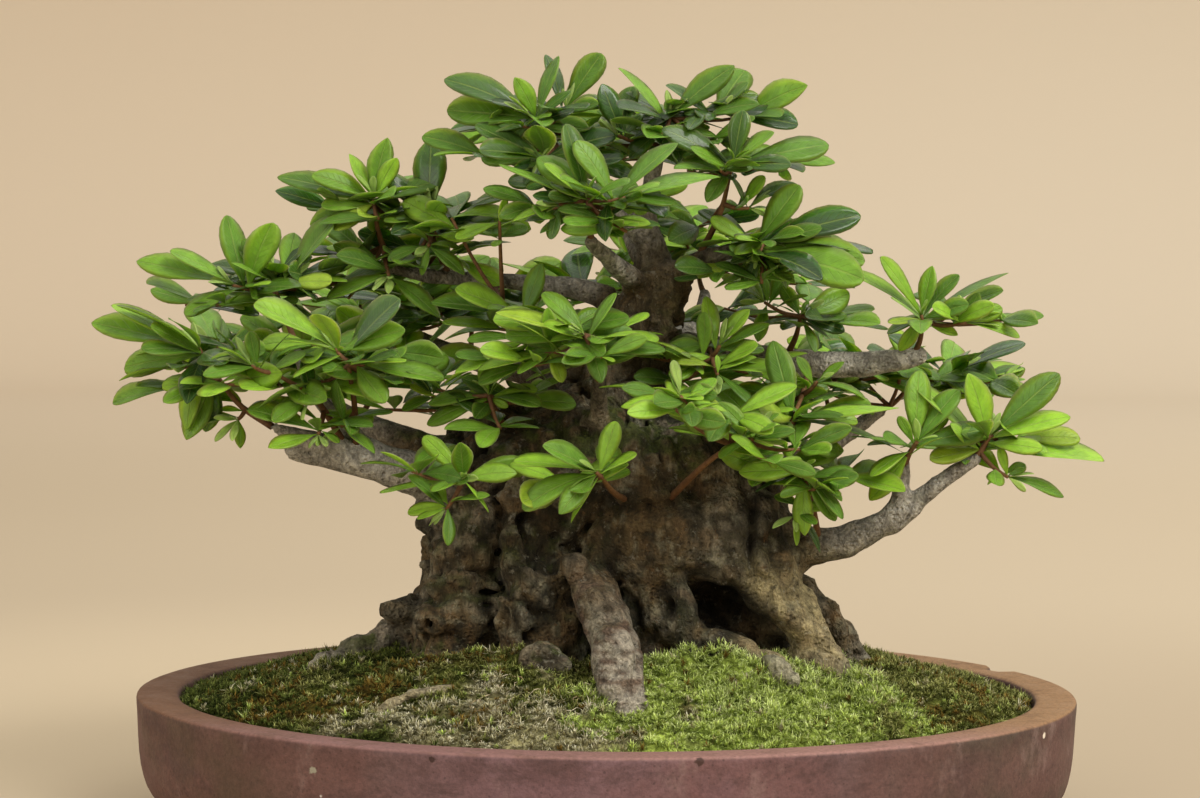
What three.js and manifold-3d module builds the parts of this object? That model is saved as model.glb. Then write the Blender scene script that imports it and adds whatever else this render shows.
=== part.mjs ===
// A satsuki azalea bonsai in an oval stoneware pot, in millimetres, +Z up.
// The origin lies on the table under the pot's middle; the front of the tree faces -Y.
import * as THREE from 'three';
import { mergeVertices } from 'three/addons/utils/BufferGeometryUtils.js';
import Module from 'manifold-3d';

const wasm = await Module();
wasm.setup();

// Pot: half length and half width of the rim, height, and the wall that curves in to the feet.
const POT_HALF_X = 200;
const POT_HALF_Y = 160;
const POT_TOP = 56;
const RIM_WIDTH = 18;
const FOOT_HEIGHT = 9;
const FLOOR_TOP = 19;
const POT_SIDES = 36;
// Rows of the wall from the feet to the rim, then of the inside from the floor up: inset, height.
const POT_OUTSIDE = [
  [26, FOOT_HEIGHT], [15, 12], [6, 18], [2, 26], [0.5, 48], [0, 53], [1, 55.2], [3, POT_TOP],
];
const POT_INSIDE = [[31, FLOOR_TOP], [22, 24], [RIM_WIDTH, 34], [RIM_WIDTH, POT_TOP + 2]];
// Feet: where each starts and ends round the oval in degrees, its insets, and its taper to the table.
const FOOT_SPANS = [[22, 50], [130, 158], [202, 230], [310, 338]];
const FOOT_OUTER = 24;
const FOOT_INNER = 44;
const FOOT_TAPER = 0.985;
const CHIP_PLACE = [169.5, 94, POT_TOP + 0.5];
const CHIP_SIZE = 8;
const CHIP_TURN = 35;
const DRAIN_X = 95;
const DRAIN_RADIUS = 11;
const SCREEN_SIZE = 30;
const SCREEN_BAR = 2.4;
const SCREEN_BARS = 3;
const SCREEN_THICK = 1.2;
// The bars that run across are thinner by this, so no two faces of the screen coincide.
const SCREEN_STEP = 0.4;
const GAP = 0.3;
const JOIN_TOLERANCE = 0.05;
const TREE_TOLERANCE = 0.5;
const WELD_DISTANCE = 1e-3;

// Soil: its height at the wall, the rise of the mound, and how far the tree is sunk in it.
const SOIL_EDGE = POT_TOP - 7;
const SOIL_RISE = 30;
const MOUND_RINGS = 6;
const TREE_SUNK = 7;

// Trunk: size of the cells that its surface is worked out on, and how softly its lobes merge.
const TRUNK_CELL = 13;
const TRUNK_BLEND = 11;
const HOLLOW_BLEND = 5;
const TRUNK_LOW = [-140, -125, 22];
const TRUNK_HIGH = [150, 110, 250];

// Leaves and twigs.
const LEAF_THICK = 0.7;
const LEAF_WIDTH = 0.22;
const SMALL_LEAF = 26;
const TWIG_BASE = 1.9;
const SIDE_TWIG_BASE = 1.2;
const TWIG_TIP = 0.9;
const TWIG_SIDES = 3;
const STEM_STEPS = 3;
const LEAF_STEP = 1.6;
const WHORL_LEAVES = 4;
const LEAF_NUDGES = [0, -10, 10, -20, 20, -32, 32];
const FUSED_VOLUME = 0.15;
const CUT_VOLUME = 0.001;
const SHORTEST_LEAF = 20;
const SHORTEST_TWIG = 3;
const BENT_TWIG = 15;

// Lobes of the trunk and its roots: two ends [x, y, z], and the radius at each.
const LOBES = [
  [[-4, 2, 60], [0, 2, 148], 50, 46],
  [[-40, 0, 60], [-40, -2, 138], 41, 37],
  [[40, 2, 60], [36, 2, 138], 45, 37],
  [[-40, -2, 138], [-34, -4, 166], 33, 17],
  [[0, 2, 148], [8, 4, 186], 38, 22],
  [[36, 2, 138], [42, 4, 156], 32, 16],
  [[8, 4, 186], [19, 4, 222], 21, 13],
  [[-58, -28, 150], [-62, -38, 100], 16, 17],
  [[-62, -38, 100], [-72, -42, 58], 17, 19],
  [[10, -34, 140], [24, -40, 110], 20, 20],
  [[24, -40, 110], [20, -50, 58], 18, 22],
  [[50, -28, 136], [66, -42, 106], 16, 17],
  [[66, -44, 106], [90, -48, 72], 17, 18],
  [[-74, -6, 92], [-88, -10, 58], 17, 19],
  [[-20, 30, 70], [-45, 58, 56], 26, 18],
  [[40, 30, 80], [62, 60, 56], 24, 18],
  [[0, 34, 110], [6, 62, 56], 20, 18],
];

// Hollows cut back into the trunk: the arch at the right, and the dark clefts between the columns.
const HOLLOWS = [
  [[36, -66, 100], [58, -66, 96], 15, 14],
  [[-34, -70, 146], [-36, -78, 92], 13, 16],
  [[-2, -70, 140], [8, -80, 120], 10, 12],
];

// Roots over the soil and branches: points, radius at each point. They are fused into the tree.
const LIMBS = [
  { points: [[-18, -40, 126], [-4, -64, 101], [2, -84, 84], [9, -106, 58]], radii: [9, 11, 10, 8] },
  { points: [[66, -12, 116], [90, -9, 95], [104, -6, 77], [115, -2, 56]], radii: [12, 11, 11, 9] },
  { points: [[-66, -6, 94], [-88, -18, 87], [-104, -26, 76], [-122, -34, 58]], radii: [7, 6, 5.5, 4] },
  { points: [[-80, -20, 86], [-88, -24, 96], [-92, -26, 100]], radii: [6, 5.5, 3.5] },
  { points: [[-96, -100, 56], [-78, -96, 65], [-56, -84, 70], [-44, -70, 62]], radii: [3, 4.5, 5, 4] },
  { points: [[-30, -60, 74], [-21, -78, 80], [-12, -84, 60]], radii: [9, 8, 8] },
  { points: [[24, -50, 94], [48, -62, 86], [74, -72, 80], [92, -76, 60]], radii: [6, 6, 6, 5] },
  { points: [[40, -74, 66], [58, -84, 80], [74, -94, 74], [84, -98, 56]], radii: [6, 8, 6, 4] },
  { points: [[-36, -8, 148], [-64, -28, 147], [-94, -36, 158], [-122, -42, 167]],
    radii: [17, 11, 8.5, 6.2] },
  { points: [[-112, -40, 166], [-134, -45, 170], [-146, -43, 174]], radii: [4, 3, 2.4] },
  { points: [[-98, -34, 160], [-120, -27, 181], [-131, -18, 202]], radii: [4, 3, 2.4] },
  { points: [[14, 4, 214], [-10, 10, 226], [-45, 12, 230], [-77, 12, 232], [-94, 10, 235]],
    radii: [7, 4.6, 3.4, 3, 2.6] },
  { points: [[12, 6, 188], [36, 18, 201], [62, 22, 197], [108, 20, 195], [133, 15, 199]],
    radii: [10, 7, 6.2, 5.6, 4] },
  { points: [[58, -6, 128], [78, -22, 121], [100, -30, 125], [124, -34, 138]], radii: [14, 8.5, 6.6, 4.6] },
  { points: [[118, -32, 132], [122, -36, 152], [122, -38, 160]], radii: [4, 3, 2.4] },
  { points: [[120, -34, 135], [141, -34, 152], [152, -34, 159]], radii: [4, 3.2, 2.4] },
  { points: [[19, 4, 214], [18, 2, 240], [15, 0, 262], [20, 0, 284]], radii: [11, 7, 4.4, 2.8] },
  { points: [[18, 3, 224], [38, -6, 240], [56, -12, 245]], radii: [7, 4.2, 2.8] },
  { points: [[17, 2, 226], [0, -30, 240], [-8, -44, 248]], radii: [6, 3.6, 2.6] },
  { points: [[14, 0, 250], [-8, -5, 268], [-20, -8, 282]], radii: [4.5, 3, 2.4] },
  { points: [[0, -20, 160], [-4, -46, 180], [-4, -58, 196]], radii: [7, 3.6, 2.6] },
  { points: [[6, 12, 180], [-30, 50, 188], [-66, 80, 194], [-92, 100, 204]], radii: [11, 6.5, 4.4, 2.8] },
  { points: [[14, 10, 196], [32, 52, 205], [42, 88, 214], [44, 106, 222]], radii: [9, 5.5, 3.8, 2.6] },
  { points: [[44, 14, 134], [82, 56, 148], [108, 84, 160], [124, 96, 170]], radii: [12, 6, 4, 2.6] },
  { points: [[18, 4, 232], [8, 34, 252], [-4, 54, 268]], radii: [6, 3.8, 2.6] },
  { points: [[-34, 6, 150], [-76, 34, 156], [-112, 50, 168], [-134, 56, 180]], radii: [14, 6.5, 4.4, 2.8] },
];

// Front sprays, copied by eye from the photo. The stem is the reddish twig, from inside the branch
// outward. Each shoot is [x, y, z, leaves]; each leaf is [turn, lean, length]: turn is its direction
// seen from the front in degrees from the right, lean how far the tip comes forward, length in mm.
const FRONT_SPRAYS = [
  { name: 'left_low', stem: [[-138, -44, 171], [-152, -42, 180], [-166, -38, 198]], shoots: [
    [-169, -38, 203, [[162, 0, 46], [151, 12, 40], [140, 25, 38], [158, 48, 31], [104, 50, 30],
      [250, 30, 31], [243, 60, 28], [185, -15, 38], [172, -30, 36]]],
    [-163, -44, 190, [[246, 20, 27], [262, 25, 22], [200, 35, 24]]],
    [-152, -46, 174, [[176, 10, 17], [280, 20, 12]]] ] },
  { name: 'left_top', stem: [[-128, -20, 197], [-136, -12, 215], [-141, -8, 227]], shoots: [
    [-158, -14, 228, [[162, 0, 42], [145, 15, 31], [106, -5, 32], [77, 22, 30], [13, 50, 28],
      [200, 10, 26]]],
    [-144, -4, 231, [[161, -10, 27], [123, 10, 20], [60, -20, 24]]],
    [-134, -6, 231, [[57, 0, 34], [121, 15, 24], [20, 5, 35], [10, 40, 26], [4, 20, 28],
      [80, -35, 30]]] ] },
  { name: 'left_mid', stem: [[-110, -41, 166], [-120, -50, 183], [-136, -58, 194]], shoots: [
    [-145, -60, 197, [[139, 30, 17], [165, 0, 21], [180, 30, 22], [104, 0, 15], [54, 30, 22]]],
    [-122, -54, 183, [[95, 10, 17], [200, 40, 20]]],
    [-118, -58, 169, [[159, 0, 30], [100, 50, 15], [345, 40, 12], [190, 40, 24]]] ] },
  { name: 'left_inner', stem: [[-104, -38, 162], [-104, -54, 184], [-106, -60, 199]], shoots: [
    [-111, -58, 204, [[147, 5, 38], [53, 10, 34], [100, 45, 26], [200, 35, 24]]],
    [-99, -60, 198, [[86, 0, 16], [40, 20, 12], [350, 5, 33], [20, 50, 24], [310, 40, 22]]],
    [-109, -54, 172, [[190, 20, 12], [100, 40, 22], [330, 40, 22]]] ] },
  { name: 'upper_left', stem: [[-92, 10, 234], [-98, 6, 249], [-100, 2, 262]], shoots: [
    [-100, 2, 265, [[85, 0, 26], [119, 5, 22], [160, 0, 42], [145, 15, 28], [65, 10, 20], [197, 0, 29],
      [208, 30, 22], [30, 45, 26]]],
    [-105, 22, 241, [[166, -5, 19], [207, 10, 16], [67, -30, 30], [140, -20, 26]]],
    [-93, -6, 232, [[328, 10, 28], [200, 20, 28], [150, 35, 26]]] ] },
  { name: 'upper_left_inner', stem: [[-68, 12, 231], [-75, 8, 247], [-77, 4, 258]], shoots: [
    [-77, 4, 260, [[90, 0, 33], [124, 5, 28], [30, 0, 31], [8, 10, 43], [11, 40, 22], [170, 35, 24]]],
    [-76, -12, 245, [[190, 10, 18], [260, 30, 14], [330, 20, 20]]],
    [-65, 2, 240, [[23, 0, 26], [27, 30, 20], [330, 25, 24]]] ] },
  { name: 'centre_left', stem: [[-50, 11, 229], [-44, -14, 220], [-35, -30, 215]], shoots: [
    [-33, -32, 215, [[164, 0, 37], [151, 15, 30], [71, 5, 24], [48, 10, 18], [300, 45, 22]]],
    [-46, -24, 256, [[80, 30, 12], [20, 30, 18], [200, 20, 20]]] ] },
  { name: 'apex_left', stem: [[-17, -8, 278], [-26, -10, 292], [-30, -12, 298]], shoots: [
    [-33, -14, 299, [[146, 0, 40], [144, 12, 19], [175, 0, 36], [80, 0, 28], [46, 10, 18], [110, 20, 20],
      [215, 25, 26]]],
    [-19, -6, 303, [[62, 0, 28], [100, -10, 26], [20, 40, 22]]],
    [-29, -28, 281, [[176, 0, 26], [155, 0, 32], [220, 35, 14], [158, 30, 20], [20, 40, 24]]] ] },
  { name: 'apex_front', stem: [[-7, -41, 246], [-9, -50, 255], [-10, -56, 265]], shoots: [
    [-10, -58, 267, [[143, 0, 39], [102, 5, 32], [125, 25, 24], [200, 30, 22], [330, 45, 22]]],
    [6, -60, 266, [[53, 0, 33], [115, 5, 28], [145, 0, 33], [20, 0, 41], [2, 20, 20], [250, 45, 20]]],
    [-21, -58, 263, [[190, 10, 20], [250, 35, 16]]] ] },
  { name: 'apex_top', stem: [[19, 0, 280], [22, 0, 292], [25, 0, 300]], shoots: [
    [26, -2, 302, [[130, 0, 31], [47, 0, 35], [150, 5, 19], [82, 0, 10], [300, 45, 22], [210, 30, 22]]],
    [3, -6, 292, [[111, 0, 24], [54, 0, 13], [180, 30, 22], [90, -30, 28]]],
    [46, 2, 302, [[143, 0, 23], [51, 0, 18], [40, 10, 17], [356, 0, 34], [172, 20, 13], [60, -30, 30]]] ] },
  { name: 'apex_right', stem: [[36, -5, 239], [46, -14, 260], [50, -20, 278]], shoots: [
    [51, -21, 281, [[82, 0, 22], [16, 0, 41], [6, 15, 25], [45, 10, 21], [127, 20, 18], [145, 0, 33],
      [230, 30, 20]]],
    [58, -14, 262, [[115, 30, 17], [65, 30, 17], [40, -15, 24]]] ] },
  { name: 'right_top', stem: [[52, -11, 244], [60, -17, 247], [66, -20, 248]], shoots: [
    [63, -18, 250, [[21, 0, 42], [4, 0, 44], [57, 10, 30], [24, 0, 25], [30, 35, 18], [148, 5, 21]]],
    [62, -24, 243, [[3, 10, 43], [352, 20, 46], [353, 30, 30], [249, 10, 18], [317, 15, 18],
      [200, 25, 14]]] ] },
  { name: 'centre_mid', stem: [[-4, -55, 190], [-8, -66, 205], [-10, -72, 211]], shoots: [
    [-10, -73, 213, [[127, 0, 24], [64, 5, 22], [2, 0, 31], [186, 40, 16], [157, 10, 38], [300, 45, 20]]],
    [-26, -68, 203, [[182, 0, 37], [180, 25, 30], [198, 50, 18], [315, 50, 16], [100, 30, 20]]] ] },
  { name: 'shoulder_left', stem: [[-40, -10, 164], [-46, -32, 176], [-49, -50, 185]], shoots: [
    [-49, -52, 186, [[107, 10, 12], [193, 0, 28], [15, 10, 20], [332, 30, 9], [60, 45, 24]]],
    [-73, -40, 184, [[73, 0, 8], [189, 10, 15], [120, 30, 20]]] ] },
  { name: 'centre_right', stem: [[40, 18, 200], [42, -6, 203], [43, -20, 200]], shoots: [
    [37, -22, 198, [[84, 5, 20], [150, 20, 22], [200, 40, 18]]],
    [46, -24, 205, [[26, 0, 24], [60, 20, 20], [100, -10, 24]]],
    [45, -30, 193, [[85, 0, 8], [10, 0, 30], [30, 15, 17], [330, 30, 20]]] ] },
  { name: 'right_inner', stem: [[76, 22, 197], [80, 10, 208], [81, 0, 217]], shoots: [
    [80, -2, 218, [[350, 0, 20], [330, 10, 16], [116, 0, 15], [62, 0, 8], [304, 25, 17], [20, -20, 26]]],
    [66, 6, 222, [[95, 10, 12], [140, 0, 22], [60, -20, 20], [250, 30, 18]]] ] },
  { name: 'right_mid', stem: [[86, 19, 194], [82, -12, 186], [76, -38, 176]], shoots: [
    [75, -42, 174, [[102, 0, 33], [358, 0, 47], [17, 10, 44], [150, 35, 12], [190, 20, 14], [60, 45, 22]]],
    [87, -22, 190, [[40, 0, 14], [120, 10, 14], [355, 20, 22]]] ] },
  { name: 'front_right', stem: [[24, -48, 142], [40, -68, 160], [53, -74, 170]], shoots: [
    [58, -76, 170, [[153, 5, 22], [124, 10, 20], [60, 15, 14], [20, 20, 18], [210, 40, 16]]],
    [28, -90, 188, [[275, 20, 8], [41, 5, 9], [185, 0, 24], [118, 10, 11], [150, 30, 16]]] ] },
  { name: 'front_left', stem: [[-58, -34, 154], [-59, -62, 154], [-58, -80, 153]], shoots: [
    [-57, -82, 154, [[130, 0, 23], [187, 0, 34], [18, 5, 21], [314, 15, 17], [90, 40, 20]]],
    [-65, -78, 141, [[129, 30, 22], [180, 5, 16], [195, 20, 13], [38, 30, 7], [280, 35, 16]]] ] },
  { name: 'front_centre', stem: [[8, -46, 142], [2, -74, 148], [-3, -92, 156]], shoots: [
    [-5, -95, 158, [[167, 0, 33], [192, 10, 32], [234, 5, 22], [74, 0, 22], [36, 0, 17],
      [216, 30, 24]]] ] },
  { name: 'right_low_inner', stem: [[88, -27, 123], [84, -46, 140], [80, -54, 152]], shoots: [
    [80, -57, 156, [[265, 10, 24], [326, 10, 19], [178, 5, 27], [200, 30, 12], [317, 20, 24],
      [305, 20, 22]]],
    [76, -54, 137, [[317, 5, 18], [280, 20, 12]]] ] },
  { name: 'right_upper', stem: [[130, 16, 198], [133, 12, 206], [134, 10, 214]], shoots: [
    [133, 9, 217, [[139, 0, 37], [122, 15, 32], [79, 0, 22], [59, 5, 24], [33, 0, 42], [27, 35, 22],
      [180, 30, 18], [245, 10, 17], [339, 10, 16]]],
    [152, 6, 214, [[102, 0, 12], [70, 5, 14], [24, 5, 18], [357, 0, 24]]] ] },
  { name: 'right_lower', stem: [[122, -38, 157], [124, -40, 162], [127, -42, 167]], shoots: [
    [127, -42, 169, [[90, 0, 30], [115, 10, 14], [17, 0, 30], [55, -10, 28], [158, 10, 27], [229, 10, 25],
      [200, 30, 22]]] ] },
  { name: 'right_end', stem: [[150, -34, 157], [155, -34, 164], [158, -34, 169]], shoots: [
    [160, -35, 170, [[128, 0, 40], [99, 10, 30], [45, 0, 39], [23, 0, 35], [354, 0, 51], [138, 30, 20],
      [160, 35, 14]]],
    [165, -38, 152, [[105, 0, 13], [34, 20, 8], [352, 0, 25], [208, 15, 8]]] ] },
];

// Sprays at the back and between, grown by rule: the twig's start inside its branch, the middle and
// half size of the pad of foliage that it fills, and how many shoots it has there.
const RULE_SPRAYS = [
  { name: 'back_left', root: [-90, 99, 203], pad: [-108, 112, 216], half: [34, 26, 14], shoots: 3 },
  { name: 'back_left_inner', root: [-62, 77, 193], pad: [-62, 96, 218], half: [26, 26, 14], shoots: 2 },
  { name: 'back_middle', root: [44, 103, 221], pad: [40, 118, 238], half: [34, 22, 16], shoots: 3 },
  { name: 'back_middle_low', root: [36, 70, 209], pad: [4, 98, 224], half: [24, 24, 12], shoots: 2 },
  { name: 'back_right', root: [122, 95, 169], pad: [140, 104, 184], half: [34, 28, 14], shoots: 3 },
  { name: 'back_right_inner', root: [104, 81, 158], pad: [98, 104, 184], half: [26, 20, 12], shoots: 2 },
  { name: 'back_top', root: [-2, 52, 266], pad: [-8, 62, 284], half: [32, 22, 13], shoots: 3 },
  { name: 'left_behind', root: [-132, 55, 179], pad: [-150, 48, 196], half: [34, 28, 12], shoots: 3 },
  { name: 'left_behind_inner', root: [-110, 49, 167], pad: [-100, 58, 192], half: [24, 22, 12], shoots: 2 },
];

// Portable random numbers from 0 to 1.
function seeded(seed) {
  let state = seed >>> 0;
  return () => {
    state = (state + 0x6D2B79F5) >>> 0;
    let mixed = Math.imul(state ^ (state >>> 15), state | 1);
    mixed ^= mixed + Math.imul(mixed ^ (mixed >>> 7), mixed | 61);
    return ((mixed ^ (mixed >>> 14)) >>> 0) / 4294967296;
  };
}

function vector(point) {
  return new THREE.Vector3(point[0], point[1], point[2]);
}

function radians(degrees) {
  return (degrees * Math.PI) / 180;
}

// three.js geometry to a solid for joining and cutting, and back.
function solid(geometry) {
  const bare = new THREE.BufferGeometry();
  bare.setAttribute('position', geometry.getAttribute('position'));
  bare.setIndex(geometry.getIndex());
  const merged = mergeVertices(bare, WELD_DISTANCE);
  const vertProperties = new Float32Array(merged.getAttribute('position').array);
  const triVerts = new Uint32Array(merged.getIndex().array);
  return new wasm.Manifold(new wasm.Mesh({ numProp: 3, vertProperties, triVerts }));
}

function geometryOf(shape) {
  const mesh = shape.getMesh();
  const geometry = new THREE.BufferGeometry();
  geometry.setAttribute('position', new THREE.BufferAttribute(new Float32Array(mesh.vertProperties), 3));
  geometry.setIndex(new THREE.BufferAttribute(new Uint32Array(mesh.triVerts), 1));
  return geometry;
}

function indexed(positions, faces) {
  const geometry = new THREE.BufferGeometry();
  geometry.setAttribute('position', new THREE.Float32BufferAttribute(positions, 3));
  geometry.setIndex(faces);
  return geometry;
}

// The largest body of a joined shape, with points closer than the tolerance made one.
function largestPiece(shape, tolerance = JOIN_TOLERANCE) {
  const biggest = (body) => body.decompose().sort((a, b) => b.volume() - a.volume())[0];
  return biggest(solid(geometryOf(biggest(shape.setTolerance(tolerance)))));
}

// A closed body from rings of points, one ring after another, with a flat fan at each end.
function loft(rings) {
  const sides = rings[0].length;
  const positions = rings.flat(2);
  const faces = [];
  for (let row = 0; row < rings.length - 1; row += 1) {
    for (let side = 0; side < sides; side += 1) {
      const a = row * sides + side;
      const b = row * sides + ((side + 1) % sides);
      faces.push(a, b, b + sides, a, b + sides, a + sides);
    }
  }
  const last = (rings.length - 1) * sides;
  for (let side = 1; side < sides - 1; side += 1) {
    faces.push(0, side + 1, side);
    faces.push(last, last + side, last + side + 1);
  }
  return indexed(positions, faces);
}

// An oval ring: the pot's rim outline moved in by inset, at height z.
function ovalRing(inset, z) {
  const ring = [];
  for (let side = 0; side < POT_SIDES; side += 1) {
    const angle = (2 * Math.PI * side) / POT_SIDES;
    const across = Math.hypot(POT_HALF_Y * Math.cos(angle), POT_HALF_X * Math.sin(angle));
    const normalX = (POT_HALF_Y * Math.cos(angle)) / across;
    const normalY = (POT_HALF_X * Math.sin(angle)) / across;
    ring.push([
      POT_HALF_X * Math.cos(angle) - inset * normalX,
      POT_HALF_Y * Math.sin(angle) - inset * normalY,
      z,
    ]);
  }
  return ring;
}

function ovalSolid(rows) {
  return solid(loft(rows.map(([inset, z]) => ovalRing(inset, z))));
}

// A tube along a curve through the points, with its own radius at each point.
function tube(points, radii, sides, steps) {
  const curve = new THREE.CatmullRomCurve3(points.map(vector), false, 'centripetal');
  const frames = curve.computeFrenetFrames(steps, false);
  const rings = [];
  for (let step = 0; step <= steps; step += 1) {
    const along = step / steps;
    const centre = curve.getPoint(along);
    const place = along * (radii.length - 1);
    const low = Math.min(Math.floor(place), radii.length - 2);
    const radius = THREE.MathUtils.lerp(radii[low], radii[low + 1], place - low);
    const ring = [];
    for (let side = 0; side < sides; side += 1) {
      const angle = (2 * Math.PI * side) / sides;
      const point = centre.clone()
        .addScaledVector(frames.normals[step], radius * Math.cos(angle))
        .addScaledVector(frames.binormals[step], radius * Math.sin(angle));
      ring.push(point.toArray());
    }
    rings.push(ring);
  }
  return solid(loft(rings));
}

function drum(x, y, low, high, radius, sides) {
  const geometry = new THREE.CylinderGeometry(radius, radius, high - low, sides);
  geometry.rotateX(Math.PI / 2);
  geometry.translate(x, y, (low + high) / 2);
  return solid(geometry);
}

// Pot

function foot(angleFrom, angleTo) {
  const outline = [];
  const corners = [
    [angleFrom, FOOT_OUTER], [angleTo, FOOT_OUTER], [angleTo, FOOT_INNER], [angleFrom, FOOT_INNER],
  ];
  for (const [angle, inset] of corners) {
    const turn = radians(angle);
    outline.push([(POT_HALF_X - inset) * Math.cos(turn), (POT_HALF_Y - inset) * Math.sin(turn)]);
  }
  const lower = outline.map(([x, y]) => [x * FOOT_TAPER, y * FOOT_TAPER, 0]);
  const upper = outline.map(([x, y]) => [x, y, FOOT_HEIGHT + 3]);
  return solid(loft([lower, upper]));
}

function pot() {
  let body = ovalSolid(POT_OUTSIDE).subtract(ovalSolid(POT_INSIDE));
  for (const [from, to] of FOOT_SPANS) {
    body = body.add(foot(from, to));
  }
  for (const side of [-1, 1]) {
    body = body.subtract(drum(side * DRAIN_X, 0, FOOT_HEIGHT - 2, FLOOR_TOP + 2, DRAIN_RADIUS, 16));
  }
  return body.subtract(rimChip());
}

// The chip in the outer edge of the rim, at the back right.
function rimChip() {
  const geometry = new THREE.IcosahedronGeometry(CHIP_SIZE, 0);
  geometry.scale(1, 0.7, 0.5);
  geometry.rotateZ(radians(CHIP_TURN));
  geometry.translate(...CHIP_PLACE);
  return solid(geometry);
}

function block(sizeX, sizeY, sizeZ, x, y, z) {
  const geometry = new THREE.BoxGeometry(sizeX, sizeY, sizeZ);
  geometry.translate(x, y, z);
  return solid(geometry);
}

// The plastic mesh square over a drain hole, which keeps the soil in: bars both ways.
function drainScreen(side) {
  const height = FLOOR_TOP + GAP + SCREEN_THICK / 2;
  const pitch = (SCREEN_SIZE - SCREEN_BAR) / (SCREEN_BARS - 1);
  let screen = null;
  for (let bar = 0; bar < SCREEN_BARS; bar += 1) {
    const offset = (SCREEN_BAR - SCREEN_SIZE) / 2 + bar * pitch;
    const thin = SCREEN_THICK - SCREEN_STEP;
    const across = block(SCREEN_SIZE, SCREEN_BAR, thin, side * DRAIN_X, offset, height);
    const along = block(SCREEN_BAR, SCREEN_SIZE, SCREEN_THICK, side * DRAIN_X + offset, 0, height);
    screen = screen ? screen.add(across).add(along) : across.add(along);
  }
  return screen;
}

// Soil and moss

// Height of the soil: a mound, highest at the tree.
function soilHeight(x, y) {
  const halfX = POT_HALF_X - RIM_WIDTH;
  const halfY = POT_HALF_Y - RIM_WIDTH;
  const reach = Math.min(1, (x / halfX) ** 2 + (y / halfY) ** 2);
  return SOIL_EDGE + SOIL_RISE * (1 - reach) ** 1.15;
}

// A point of the mound's grid in plan: step counts round the oval, ring counts out from the middle.
function moundPoint(step, ring) {
  const inset = RIM_WIDTH + GAP;
  const angle = (2 * Math.PI * step) / POT_SIDES;
  const across = Math.hypot(POT_HALF_Y * Math.cos(angle), POT_HALF_X * Math.sin(angle));
  const share = ring / MOUND_RINGS;
  const x = (POT_HALF_X - (inset * POT_HALF_Y) / across) * Math.cos(angle) * share;
  const y = (POT_HALF_Y - (inset * POT_HALF_X) / across) * Math.sin(angle) * share;
  return [x, y];
}

// The soil fills the pot from its floor up to the mound.
function soilSolid() {
  const wall = [[POT_INSIDE[0][0], FLOOR_TOP + GAP], ...POT_INSIDE.slice(1, 3)];
  const rings = wall.map(([inset, z]) => ovalRing(inset + GAP, z));
  for (let ring = MOUND_RINGS; ring > 0; ring -= 1) {
    const points = [];
    for (let step = 0; step < POT_SIDES; step += 1) {
      const [x, y] = moundPoint(step, ring);
      points.push([x, y, soilHeight(x, y)]);
    }
    rings.push(points);
  }
  return solid(loft(rings));
}

// Thickness of the moss: cushions of different sizes.
function mossThickness(x, y) {
  const cushions = Math.sin(x / 15 + 0.6 * Math.sin(y / 21)) * Math.cos(y / 13 + 0.5 * Math.sin(x / 24));
  return 2.6 + 4 * Math.abs(cushions);
}

// Moss patches on the grid of the mound: steps round the oval, and rings out from the middle. They
// stop this share of a step short of each other and of the wall.
const PATCH_GAP = 0.02;
const MOSS_PATCHES = {
  moss_bright: { steps: [29, 33], rings: [3, 6] },
  moss_dark: { steps: [-3, 10], rings: [3, 6] },
  moss_mixed: { steps: [10, 24], rings: [3, 6] },
  moss_straw: { steps: [24, 29], rings: [3, 6] },
};

// A patch lies on the soil's own facets, with a gap under it, round it and at the wall.
function mossPatch({ steps, rings }) {
  const columns = steps[1] - steps[0];
  const rows = rings[1] - rings[0];
  const positions = [];
  for (const level of [0, 1]) {
    for (let row = 0; row <= rows; row += 1) {
      for (let column = 0; column <= columns; column += 1) {
        const inward = column === 0 ? PATCH_GAP : column === columns ? -PATCH_GAP : 0;
        const ring = rings[0] + row - (row === rows ? PATCH_GAP : 0);
        const [x, y] = moundPoint(steps[0] + column + inward, ring);
        const lift = level === 0 ? GAP : mossThickness(x, y) * (row === rows ? 0.6 : 1);
        positions.push(x, y, soilHeight(x, y) + lift);
      }
    }
  }
  const wide = columns + 1;
  const above = wide * (rows + 1);
  const faces = [];
  const quad = (a, b, c, d) => faces.push(a, b, c, a, c, d);
  for (let row = 0; row < rows; row += 1) {
    for (let column = 0; column < columns; column += 1) {
      const corner = row * wide + column;
      quad(corner, corner + 1, corner + wide + 1, corner + wide);
      quad(corner + above, corner + wide + above, corner + wide + 1 + above, corner + 1 + above);
    }
    const left = row * wide;
    const right = left + columns;
    quad(left, left + wide, left + wide + above, left + above);
    quad(right, right + above, right + wide + above, right + wide);
  }
  for (let column = 0; column < columns; column += 1) {
    const far = rows * wide + column;
    quad(column, column + above, column + 1 + above, column + 1);
    quad(far, far + 1, far + 1 + above, far + above);
  }
  return solid(indexed(positions, faces));
}

// Tree

function smoothMin(a, b, blend) {
  const near = Math.max(blend - Math.abs(a - b), 0) / blend;
  return Math.min(a, b) - near * near * blend * 0.25;
}

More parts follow.
